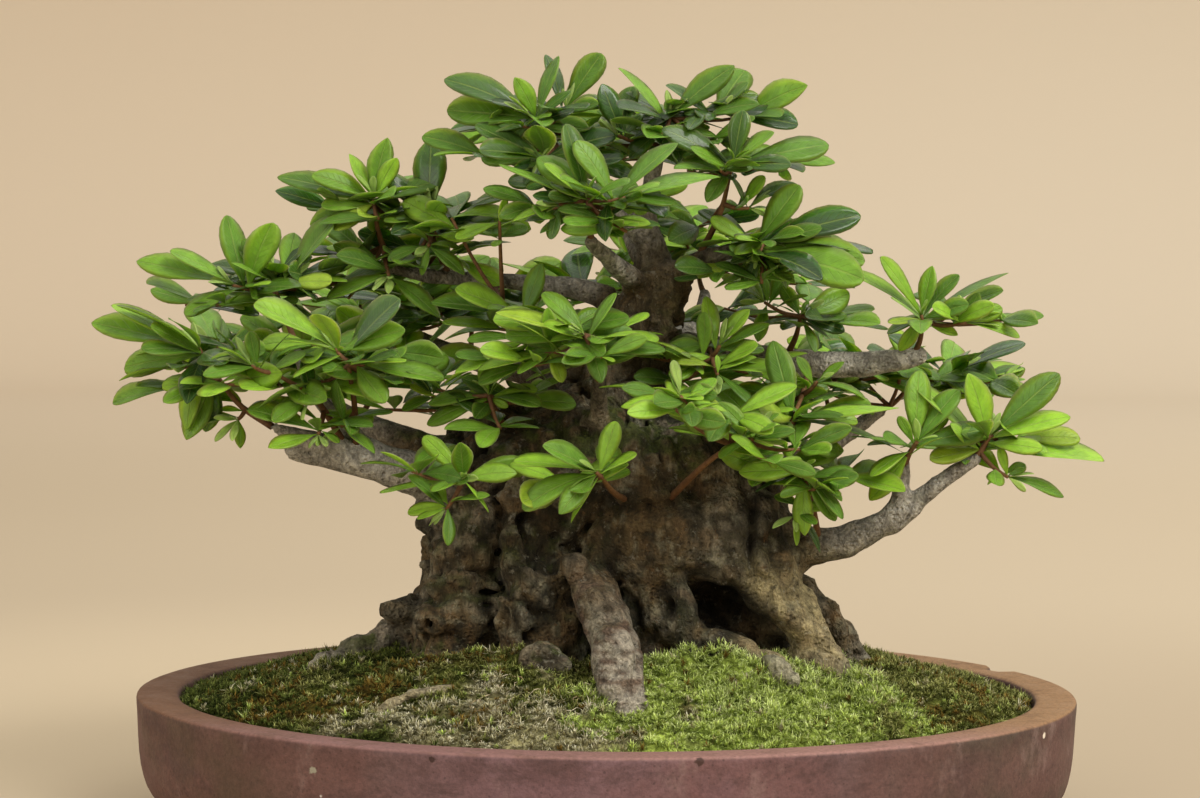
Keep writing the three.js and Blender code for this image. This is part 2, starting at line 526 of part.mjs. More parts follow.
// Distance from a point to a capsule whose radius changes along its length.
function capsuleDistance(x, y, z, [from, to, radiusFrom, radiusTo]) {
  const lineX = to[0] - from[0];
  const lineY = to[1] - from[1];
  const lineZ = to[2] - from[2];
  const dot = (x - from[0]) * lineX + (y - from[1]) * lineY + (z - from[2]) * lineZ;
  const along = THREE.MathUtils.clamp(dot / (lineX ** 2 + lineY ** 2 + lineZ ** 2), 0, 1);
  const near = [from[0] + along * lineX, from[1] + along * lineY, from[2] + along * lineZ];
  const gap = Math.hypot(x - near[0], y - near[1], z - near[2]);
  return gap - THREE.MathUtils.lerp(radiusFrom, radiusTo, along);
}

// Below zero inside the trunk.
function trunkField(x, y, z) {
  let distance = 1000;
  for (const lobe of LOBES) {
    distance = smoothMin(distance, capsuleDistance(x, y, z, lobe), TRUNK_BLEND);
  }
  for (const hollow of HOLLOWS) {
    distance = -smoothMin(-distance, capsuleDistance(x, y, z, hollow), HOLLOW_BLEND);
  }
  const bark = 1.6 * Math.sin(x / 7 + z / 31) * Math.sin(y / 8 + z / 23);
  return Math.max(distance + bark, soilHeight(x, y) - TREE_SUNK - z);
}

// Where inside and outside meet like a chessboard on a cell's face, the surface would touch itself,
// so the outside corner nearest the surface is taken in, until no such face is left.
function fillPinches(values, count, at) {
  const steps = [[1, 0, 0], [0, 1, 0], [0, 0, 1]];
  let changed = true;
  while (changed) {
    changed = false;
    for (let k = 0; k < count[2] - 1; k += 1) {
      for (let j = 0; j < count[1] - 1; j += 1) {
        for (let i = 0; i < count[0] - 1; i += 1) {
          for (let axis = 0; axis < 3; axis += 1) {
            const one = steps[(axis + 1) % 3];
            const two = steps[(axis + 2) % 3];
            const face = [[0, 0], [1, 0], [1, 1], [0, 1]].map(([a, b]) => at(
              i + a * one[0] + b * two[0], j + a * one[1] + b * two[1], k + a * one[2] + b * two[2],
            ));
            const inside = face.map((place) => values[place] < 0);
            if (inside[0] === inside[2] && inside[1] === inside[3] && inside[0] !== inside[1]) {
              const outside = face.filter((place) => values[place] >= 0);
              outside.sort((a, b) => values[a] - values[b]);
              values[outside[0]] = -0.5;
              changed = true;
            }
          }
        }
      }
    }
  }
}

// The surface where a field is zero: one point in each cell that it passes through.
function fieldSurface(field, low, high, cell) {
  const count = low.map((value, axis) => Math.ceil((high[axis] - value) / cell) + 1);
  const at = (i, j, k) => (k * count[1] + j) * count[0] + i;
  const values = new Float64Array(count[0] * count[1] * count[2]);
  for (let k = 0; k < count[2]; k += 1) {
    for (let j = 0; j < count[1]; j += 1) {
      for (let i = 0; i < count[0]; i += 1) {
        values[at(i, j, k)] = field(low[0] + i * cell, low[1] + j * cell, low[2] + k * cell);
      }
    }
  }
  fillPinches(values, count, at);
  const corners = [[0, 0, 0], [1, 0, 0], [0, 1, 0], [1, 1, 0], [0, 0, 1], [1, 0, 1], [0, 1, 1], [1, 1, 1]];
  const edges = [
    [0, 1], [2, 3], [4, 5], [6, 7], [0, 2], [1, 3], [4, 6], [5, 7], [0, 4], [1, 5], [2, 6], [3, 7],
  ];
  const cellPoint = new Map();
  const positions = [];
  for (let k = 0; k < count[2] - 1; k += 1) {
    for (let j = 0; j < count[1] - 1; j += 1) {
      for (let i = 0; i < count[0] - 1; i += 1) {
        const sum = [0, 0, 0];
        let crossings = 0;
        for (const [first, second] of edges) {
          const a = corners[first];
          const b = corners[second];
          const valueA = values[at(i + a[0], j + a[1], k + a[2])];
          const valueB = values[at(i + b[0], j + b[1], k + b[2])];
          if ((valueA < 0) !== (valueB < 0)) {
            const share = valueA / (valueA - valueB);
            [i, j, k].forEach((index, axis) => {
              sum[axis] += index + a[axis] + share * (b[axis] - a[axis]);
            });
            crossings += 1;
          }
        }
        if (crossings > 0) {
          cellPoint.set(at(i, j, k), positions.length / 3);
          sum.forEach((value, axis) => positions.push(low[axis] + (cell * value) / crossings));
        }
      }
    }
  }
  return indexed(positions, fieldFaces(values, count, at, cellPoint));
}

// Two triangles across each grid edge that the surface crosses.
function fieldFaces(values, count, at, cellPoint) {
  const faces = [];
  const step = [[1, 0, 0], [0, 1, 0], [0, 0, 1]];
  for (let k = 1; k < count[2] - 1; k += 1) {
    for (let j = 1; j < count[1] - 1; j += 1) {
      for (let i = 1; i < count[0] - 1; i += 1) {
        for (let axis = 0; axis < 3; axis += 1) {
          const ahead = step[axis];
          const here = values[at(i, j, k)] < 0;
          const there = values[at(i + ahead[0], j + ahead[1], k + ahead[2])] < 0;
          if (here === there) {
            continue;
          }
          const one = step[(axis + 1) % 3];
          const two = step[(axis + 2) % 3];
          const quad = [[0, 0], [1, 0], [1, 1], [0, 1]].map(([a, b]) => cellPoint.get(
            at(i - a * one[0] - b * two[0], j - a * one[1] - b * two[1], k - a * one[2] - b * two[2]),
          ));
          if (here) {
            faces.push(quad[0], quad[1], quad[2], quad[0], quad[2], quad[3]);
          } else {
            faces.push(quad[0], quad[2], quad[1], quad[0], quad[3], quad[2]);
          }
        }
      }
    }
  }
  return faces;
}

function limb({ points, radii }) {
  const sides = radii[0] > 8 ? 7 : 5;
  return tube(points, radii, sides, points.length + 1);
}

function treeSolid() {
  let tree = solid(fieldSurface(trunkField, TRUNK_LOW, TRUNK_HIGH, TRUNK_CELL));
  for (const item of LIMBS) {
    tree = tree.add(limb(item));
  }
  return largestPiece(tree, TREE_TOLERANCE);
}

// The same solid with every point moved out along its normal, to cut clear room for it.
function grown(shape, distance) {
  const geometry = geometryOf(shape);
  geometry.computeVertexNormals();
  const position = geometry.getAttribute('position');
  const normal = geometry.getAttribute('normal');
  for (let index = 0; index < position.count; index += 1) {
    position.setXYZ(
      index,
      position.getX(index) + distance * normal.getX(index),
      position.getY(index) + distance * normal.getY(index),
      position.getZ(index) + distance * normal.getZ(index),
    );
  }
  return solid(geometry);
}

// Leaves and sprays

// Direction of a leaf from its turn seen from the front and its lean toward the viewer.
function leafDirection(turn, lean) {
  return new THREE.Vector3(
    Math.cos(radians(turn)) * Math.cos(radians(lean)),
    -Math.sin(radians(lean)),
    Math.sin(radians(turn)) * Math.cos(radians(lean)),
  );
}

// The three axes of a leaf: along it, across it, and out of its upper face.
function leafAxes(along, roll) {
  const sky = new THREE.Vector3(0, -0.55, 0.83);
  const across = new THREE.Vector3().crossVectors(along, sky);
  if (across.length() < 0.2) {
    across.set(1, 0, 0);
  }
  across.normalize().applyAxisAngle(along, roll);
  const upward = new THREE.Vector3().crossVectors(across, along).normalize();
  return { along, across, upward };
}

// Outline of a leaf, as share of its length and of its half width, and the triangles of one face.
function leafPattern(length) {
  if (length < SMALL_LEAF) {
    return { outline: [[0, 0], [0.62, 1], [1, 0], [0.62, -1]], triangles: [[0, 1, 3], [1, 2, 3]] };
  }
  return {
    outline: [[0, 0], [0.42, 0.64], [0.79, 0.94], [1, 0], [0.79, -0.94], [0.42, -0.64]],
    triangles: [[0, 1, 5], [1, 2, 5], [2, 4, 5], [2, 3, 4]],
  };
}

// A leaf blade, widest past its middle, folded a little along the rib and arched down at the tip.
function leaf(base, along, length, { roll, bend, fold }) {
  const axes = leafAxes(along, roll);
  const half = LEAF_WIDTH * length;
  const place = (share, side, lift) => base.clone()
    .addScaledVector(axes.along, share * length)
    .addScaledVector(axes.across, side)
    .addScaledVector(axes.upward, lift - bend * length * share * Math.abs(share));
  const { outline, triangles } = leafPattern(length);
  const points = outline.map(([share, side]) => place(share, side * half, Math.abs(side) * fold * half));
  const shift = axes.upward.clone().multiplyScalar(LEAF_THICK / 2);
  const positions = [];
  for (const point of points) {
    positions.push(...point.clone().add(shift).toArray());
  }
  for (const point of points) {
    positions.push(...point.clone().sub(shift).toArray());
  }
  const under = points.length;
  const faces = [];
  for (const [a, b, c] of triangles) {
    faces.push(a, b, c, a + under, c + under, b + under);
  }
  for (let index = 0; index < under; index += 1) {
    const next = (index + 1) % under;
    faces.push(index, next + under, next, index, index + under, next + under);
  }
  return solid(indexed(positions, faces));
}

function boxesMeet(a, b) {
  return [0, 1, 2].every((axis) => a.min[axis] < b.max[axis] && b.min[axis] < a.max[axis]);
}

function crosses(shape, others, most) {
  const box = shape.boundingBox();
  return others.some((other) => boxesMeet(box, other.box) && shape.intersect(other.shape).volume() > most);
}

// The point a distance back from the end of a path of straight lengths, or its start.
function backAlong(path, distance) {
  let left = distance;
  for (let index = path.length - 1; index > 0; index -= 1) {
    const length = path[index].distanceTo(path[index - 1]);
    if (left < length) {
      return path[index].clone().lerp(path[index - 1], left / length);
    }
    left -= length;
  }
  return path[0].clone();
}

// The nearest point to a shoot on its spray's stem, from which its own twig grows.
function stemPoint(curve, target) {
  let best = curve.getPoint(1);
  for (let step = 0; step <= 12; step += 1) {
    const point = curve.getPoint(0.35 + (0.65 * step) / 12);
    if (point.distanceTo(target) < best.distanceTo(target)) {
      best = point;
    }
  }
  return best;
}

// Each leaf has its own roll, bend and fold, drawn from its own three values.
function leafShape([turn, lean, length]) {
  const random = seeded(Math.round(turn * 31 + lean * 17 + length * 7 + 5000));
  return { roll: (random() - 0.5) * 0.9, bend: 0.05 + 0.2 * random(), fold: 0.1 + 0.25 * random() };
}

// Leaves in the order of their bases from the shoot's tip down: those that follow the twig come first.
function inOrder(leaves, forward) {
  const facing = ([turn, lean]) => leafDirection(turn, lean).dot(forward);
  return [...leaves].sort((a, b) => facing(b) - facing(a));
}

// The first of several small changes of lean with which a leaf is clear of what stands round it.
function clearLeaf(base, [turn, lean, length], shape, neighbours, fellows) {
  let fallback = null;
  for (const nudge of LEAF_NUDGES) {
    const blade = leaf(base, leafDirection(turn, lean + nudge), length, shape);
    if (!crosses(blade, neighbours, CUT_VOLUME)) {
      if (!crosses(blade, fellows, FUSED_VOLUME)) {
        return blade;
      }
      fallback = fallback || blade;
    }
  }
  return fallback;
}

// One spray: its stem, a twig to each shoot, and the whorls of leaves, fused and cut clear of the
// branch. A leaf that would cross a neighbouring spray is bent clear of it or left out.
function spray({ stem, shoots }, woodRoom, neighbours) {
  const last = stem.length - 1;
  const radii = stem.map((_, index) => THREE.MathUtils.lerp(TWIG_BASE, TWIG_TIP, index / last));
  const curve = new THREE.CatmullRomCurve3(stem.map(vector), false, 'centripetal');
  const parts = [tube(stem, radii, TWIG_SIDES, STEM_STEPS)];
  const stemPath = curve.getPoints(STEM_STEPS);
  const obstacles = [...neighbours, { shape: woodRoom, box: woodRoom.boundingBox() }];
  const fellows = [];
  for (const [x, y, z, leaves] of shoots) {
    const end = new THREE.Vector3(x, y, z);
    const start = stemPoint(curve, end);
    const distance = start.distanceTo(end);
    const onStem = distance < SHORTEST_TWIG;
    const steps = distance < BENT_TWIG ? 1 : 2;
    const middle = start.clone().lerp(end, 0.5).add(new THREE.Vector3(0, 0, -0.08 * distance));
    const twig = steps === 1 ? [start, end] : [start, middle, end];
    const path = onStem ? stemPath : twig;
    const forward = end.clone().sub(path[path.length - 2]).normalize();
    if (!onStem) {
      const line = twig.map((point) => point.toArray());
      parts.push(tube(line, [SIDE_TWIG_BASE, TWIG_TIP], TWIG_SIDES, steps));
    }
    const kept = inOrder(leaves.filter(([, , length]) => length >= SHORTEST_LEAF), forward);
    const room = onStem ? 0.6 * curve.getLength() : 0.85 * distance;
    const step = Math.min(LEAF_STEP, room / kept.length);
    for (const [number, item] of kept.entries()) {
      const shape = leafShape(item);
      const base = backAlong(path, step * (number + 0.3));
      const blade = clearLeaf(base, item, shape, obstacles, fellows);
      if (blade) {
        fellows.push({ shape: blade, box: blade.boundingBox() });
      }
    }
  }
  let joined = parts[0];
  for (const piece of [...parts.slice(1), ...fellows.map((fellow) => fellow.shape)]) {
    joined = joined.add(piece);
  }
  joined = joined.subtract(woodRoom);
  for (const other of neighbours) {
    if (boxesMeet(joined.boundingBox(), other.box)) {
      joined = joined.subtract(other.shape);
    }
  }
  return largestPiece(joined);
}

// Shoots of a spray that is grown by rule: spread through its pad, with whorls that face outward.
function grownSpray({ root, pad, half, shoots }, random) {
  const stem = [root, root.map((value, axis) => value + 0.5 * (pad[axis] - value)), pad];
  stem[1][2] -= 3;
  const list = [];
  for (let number = 0; number < shoots; number += 1) {
    const angle = 2.4 * number + random();
    const reach = 0.45 + 0.5 * random();
    const outX = Math.cos(angle) * reach;
    const outY = Math.sin(angle) * reach;
    const place = [pad[0] + half[0] * outX, pad[1] + half[1] * outY, pad[2] + half[2] * (random() - 0.3)];
    list.push([...place, whorl(outX, outY, random)]);
  }
  return { stem, shoots: list };
}

// Leaves of one whorl, spread round a shoot that points up and outward.
function whorl(outX, outY, random) {
  const leaves = [];
  const first = 2 * Math.PI * random();
  for (let number = 0; number < WHORL_LEAVES; number += 1) {
    const angle = first + (2 * Math.PI * number) / WHORL_LEAVES;
    const direction = new THREE.Vector3(
      Math.cos(angle) + 0.5 * outX,
      Math.sin(angle) + 0.5 * outY,
      0.35 + 0.5 * random(),
    ).normalize();
    const lean = THREE.MathUtils.radToDeg(Math.asin(-direction.y));
    const turn = THREE.MathUtils.radToDeg(Math.atan2(direction.z, direction.x));
    leaves.push([turn, lean, 30 + 10 * random()]);
  }
  return leaves;
}

// Materials

const MATERIALS = {
  stoneware: { color: 0x74594a, roughness: 0.75, metalness: 0 },
  screen: { color: 0x1d1d1d, roughness: 0.6, metalness: 0 },
  soil: { color: 0x4a3a28, roughness: 1, metalness: 0 },
  moss_bright: { color: 0x7c893e, roughness: 1, metalness: 0 },
  moss_dark: { color: 0x53592c, roughness: 1, metalness: 0 },
  moss_mixed: { color: 0x5d5f2e, roughness: 1, metalness: 0 },
  moss_straw: { color: 0x8f8458, roughness: 1, metalness: 0 },
  bark: { color: 0x6b6150, roughness: 0.9, metalness: 0 },
  leaf: { color: 0x5f7d31, roughness: 0.4, metalness: 0 },
};

function named(name, shape, material) {
  const settings = { ...MATERIALS[material], flatShading: true };
  const mesh = new THREE.Mesh(geometryOf(shape), new THREE.MeshStandardMaterial(settings));
  mesh.name = name;
  return mesh;
}

function build() {
  const bonsai = new THREE.Group();
  bonsai.name = 'satsuki_bonsai';
  bonsai.add(named('pot', pot(), 'stoneware'));
  const screens = [drainScreen(-1), drainScreen(1)];
  bonsai.add(named('drain_screen_left', screens[0], 'screen'));
  bonsai.add(named('drain_screen_right', screens[1], 'screen'));

  const tree = treeSolid();
  const woodRoom = grown(tree, GAP + 0.1);
  let soil = soilSolid().subtract(woodRoom);
  for (const side of [-1, 1]) {
    const room = SCREEN_SIZE + 2 * GAP;
    soil = soil.subtract(block(room, room, 4, side * DRAIN_X, 0, FLOOR_TOP + SCREEN_THICK + 2 * GAP - 2));
  }
  bonsai.add(named('soil', largestPiece(soil), 'soil'));

  for (const [name, extent] of Object.entries(MOSS_PATCHES)) {
    bonsai.add(named(name, largestPiece(mossPatch(extent).subtract(woodRoom)), name));
  }
  bonsai.add(named('tree', tree, 'bark'));

  const random = seeded(73);
  const done = [];
  const plans = [...FRONT_SPRAYS, ...RULE_SPRAYS.map((rule) => ({ ...rule, ...grownSpray(rule, random) }))];
  for (const plan of plans) {
    const shape = spray(plan, woodRoom, done);
    done.push({ shape, box: shape.boundingBox() });
    bonsai.add(named(`spray_${plan.name}`, shape, 'leaf'));
  }
  return bonsai;
}

export default build();
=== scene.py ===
import math

import bmesh
import bpy
import numpy as np
from mathutils import Matrix, Vector


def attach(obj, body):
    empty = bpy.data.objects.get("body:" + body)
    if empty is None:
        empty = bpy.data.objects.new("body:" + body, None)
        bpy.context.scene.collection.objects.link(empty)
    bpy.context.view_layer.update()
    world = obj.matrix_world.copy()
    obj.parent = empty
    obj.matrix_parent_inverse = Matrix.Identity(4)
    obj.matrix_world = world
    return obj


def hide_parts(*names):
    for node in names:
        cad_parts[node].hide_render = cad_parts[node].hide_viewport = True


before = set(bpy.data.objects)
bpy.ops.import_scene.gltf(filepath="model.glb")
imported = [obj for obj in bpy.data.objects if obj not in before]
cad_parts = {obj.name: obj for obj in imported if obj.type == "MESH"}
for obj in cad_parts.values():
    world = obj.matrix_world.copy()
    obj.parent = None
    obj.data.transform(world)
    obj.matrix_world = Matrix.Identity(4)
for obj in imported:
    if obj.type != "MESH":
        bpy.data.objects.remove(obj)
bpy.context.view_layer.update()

MM = 0.001

# Camera, as fitted to the ellipse of the pot's rim in the photo
CAMERA_AIM = (-3.7, 0.0, 180.6)
CAMERA_DISTANCE = 1310.3
CAMERA_PITCH = 3.782
CAMERA_ROLL = 0.449
CAMERA_LENS = 92.6

# Pot
POT_HALF_X = 200.0
POT_HALF_Y = 160.0
POT_TOP = 56.0
RIM_WIDTH = 18.0
POT_SIDES = 360
POT_UNDERSIDE = 10.2
FLOOR_TOP = 19
FLOOR_INSET = 60
DRAIN_X = 95.0
DRAIN_RADIUS = 11.0
DRAIN_SIDES = 48
DRAIN_CUT = (4, 24)
FOOT_SPANS = [(22, 50), (130, 158), (202, 230), (310, 338)]
FOOT_INSETS = (24, 44)
FOOT_ROWS = [(0.955, 0), (0.975, 0.5), (0.985, 1.6), (1, 12.5)]
FOOT_EASE = (0.2, 0.1, 0.04)
CHIP_PLACE = (179.2, 71.2, 56.0)
CHIP_REACH = 8.5
SHARP_ANGLE = 38

# Soil and moss, whose plan has steps of ten degrees round the oval and rings out from the middle
SOIL_HALF_X = POT_HALF_X - RIM_WIDTH
SOIL_HALF_Y = POT_HALF_Y - RIM_WIDTH
SOIL_EDGE = POT_TOP - 7.0
SOIL_RISE = 30.0
SOIL_ROWS, SOIL_COLUMNS = 56, 150
GRID_STEPS = 36
GRID_RINGS = 6
GAP = 0.3
MOSS_RINGS = (3, 5.98)
MOSS_PATCHES = {
    "moss_bright": (29, 33), "moss_dark": (-3, 10), "moss_mixed": (10, 24), "moss_straw": (24, 29),
}
MOSS_ROWS, MOSS_COLUMNS = ((11, 9))
TUFT_SPACING = 2.75
MOSS_BLADES = 16
STRANDS = 44
GRAINS = 1500

# Trunk
TREE_SUNK = 7.0
TRUNK_BLEND = 11.0
HOLLOW_BLEND = 5
CELL = 1.65
SCRAP_POINTS = 150
TREE_LOW = (-148.0, -118.0, 44.0)
TREE_HIGH = (160.0, 116.0, 292.0)

# Leaves and twigs
LEAF_WIDTH = 0.205
LEAF_THICK = 0.4
LEAF_STEP = 1.6
TWIG_BASE = 1.6
TWIG_TIP = 0.75
SHORTEST_LEAF = 20
INNER_SHOOTS = 3

# Light, in watts, and the even light of the room
KEY_POWER = 47.0
FILL_POWER = 14.0
WALL_POWER = 24.0
ROOM_LIGHT = 0.98

# The round sheet behind and below, in metres
SHEET_REACH = 2.9
SHEET_CURVE = 0.6
SHEET_HEIGHT = 1.5
SHEET_SIDES = 96

# Lobes of the trunk and roots: two ends, and the radius at each end
LOBES = [
    [[-4, 2, 60], [0, 2, 148], 50, 46],
    [[-40, 0, 60], [-40, -2, 138], 41, 37],
    [[40, 2, 60], [36, 2, 138], 45, 37],
    [[-40, -2, 138], [-34, -4, 166], 33, 17],
    [[0, 2, 148], [8, 4, 186], 38, 22],
    [[36, 2, 138], [42, 4, 156], 32, 16],
    [[8, 4, 186], [19, 4, 222], 21, 13],
    [[-56, -30, 150], [-58, -36, 100], 13, 13],
    [[-58, -36, 100], [-66, -42, 58], 13, 17],
    [[-26, -34, 140], [-28, -40, 104], 16, 17],
    [[-28, -40, 104], [-30, -46, 58], 17, 20],
    [[10, -32, 150], [25, -40, 126], 22, 20],
    [[12, -30, 112], [14, -38, 58], 18, 19],
    [[44, -28, 150], [54, -32, 121], 20, 19],
    [[54, -32, 121], [64, -38, 104], 19, 14],
    [[64, -38, 104], [76, -43, 90], 14, 10],
    [[76, -43, 90], [88, -47, 74], 10, 9],
    [[88, -47, 74], [95, -48, 56], 9, 10],
    [[-60, -8, 92], [-74, -12, 58], 14, 17],
    [[-20, 30, 70], [-45, 58, 56], 26, 18],
    [[40, 30, 80], [62, 60, 56], 24, 18],
    [[0, 34, 110], [6, 62, 56], 20, 18],
]

# Hollows that are taken out of the trunk, in the same way
HOLLOWS = [
    [[33, -56, 109], [46, -54, 98], 7, 9],
    [[46, -54, 98], [66, -55, 84], 9, 8],
    [[66, -55, 84], [76, -62, 76], 8, 6],
    [[42, -38, 100], [66, -40, 84], 11, 9],
    [[-42, -60, 136], [-42, -62, 92], 5, 6],
    [[-34, -62, 122], [-22, -62, 124], 4, 5],
]

# Limbs: points along each, and the radius at even places
LIMBS = [
    ([[-12, -38, 116], [-4, -63, 101], [2, -84, 84], [9, -106, 58]], [8, 10.5, 9.5, 8]),
    ([[62, -12, 116], [80, -12, 101], [97, -10, 82], [110, -8, 56]], [10, 8, 7.5, 7.5]),
    ([[-66, -8, 92], [-86, -10, 81], [-105, -20, 75.5], [-116, -30, 71.5], [-124, -39, 66]],
      [7.5, 5.6, 4.8, 4, 2.4]),
    ([[-74, -14, 90], [-84, -18, 92], [-91, -20, 93]], [6, 5.5, 3.4]),
    ([[-94, -100, 60], [-86, -97, 65], [-74, -91, 68.5], [-62, -84, 69]], [1.6, 2.1, 2.6, 2.4]),
    ([[-30, -62, 76], [-26, -77, 80.5], [-19, -79, 80]], [6, 7, 6.6]),
    ([[20, -46, 92], [42, -58, 85], [64, -62, 79], [84, -64, 60]], [6, 6, 6, 5]),
    ([[28, -50, 110], [32, -55, 100], [34, -56, 84]], [3, 3.6, 5]),
    ([[-64, -32, 95], [-72, -52, 92]], [6.5, 5.6]),
    ([[60, -63, 79], [61, -70, 80], [65, -76, 80], [70, -82, 77], [74, -86, 74]],
      [4, 2.4, 2.8, 4.2, 3]),
    ([[-18, -46, 114], [-14, -60, 117]], [7, 6.4]),
    ([[-36, -8, 148], [-64, -26, 147], [-97, -35, 156], [-131, -39, 163]], [17, 10.5, 7.8, 5.8]),
    ([[-112, -40, 163], [-134, -45, 169], [-146, -43, 174]], [4, 3, 2.4]),
    ([[-98, -34, 160], [-120, -27, 181], [-131, -18, 202]], [4, 3, 2.4]),
    ([[14, 4, 214], [-10, 10, 226], [-45, 12, 230], [-77, 12, 232], [-94, 10, 235]],
      [7, 4.6, 3.4, 3, 2.6]),
    ([[12, 6, 188], [36, 18, 201], [62, 22, 197], [108, 20, 195], [133, 15, 199]],
      [10, 7, 6.2, 5.6, 4]),
    ([[58, -6, 128], [78, -22, 121], [100, -30, 125], [124, -34, 138]], [14, 8.5, 6.6, 4.6]),
    ([[118, -32, 132], [122, -36, 152], [122, -38, 160]], [4, 3, 2.4]),
    ([[120, -34, 135], [141, -34, 152], [152, -34, 159]], [4, 3.2, 2.4]),
    ([[19, 4, 214], [18, 2, 240], [15, 0, 262], [20, 0, 284]], [11, 7, 4.4, 2.8]),
    ([[18, 3, 224], [38, -6, 240], [56, -12, 245]], [7, 4.2, 2.8]),
    ([[17, 2, 226], [0, -30, 240], [-8, -44, 248]], [6, 3.6, 2.6]),
    ([[14, 0, 250], [-8, -5, 268], [-20, -8, 282]], [4.5, 3, 2.4]),
    ([[0, -20, 160], [-4, -46, 180], [-4, -58, 196]], [7, 3.6, 2.6]),
    ([[6, 12, 180], [-30, 50, 188], [-66, 80, 194], [-92, 100, 204]], [11, 6.5, 4.4, 2.8]),
    ([[14, 10, 196], [32, 52, 205], [42, 88, 214], [44, 106, 222]], [9, 5.5, 3.8, 2.6]),
    ([[44, 14, 134], [82, 56, 148], [108, 84, 160], [124, 96, 170]], [12, 6, 4, 2.6]),
    ([[18, 4, 232], [8, 34, 252], [-4, 54, 268]], [6, 3.8, 2.6]),
    ([[-34, 6, 150], [-76, 34, 156], [-112, 50, 168], [-134, 56, 180]], [14, 6.5, 4.4, 2.8]),
]

# Sawn ends of limbs, in the same way
CUTS = [
    [[-143, -40, 168], [-141, -42, 160], 9, 9],
    [[-73, -54, 92], [-71, -48, 92.5], 3, 2.6],
]

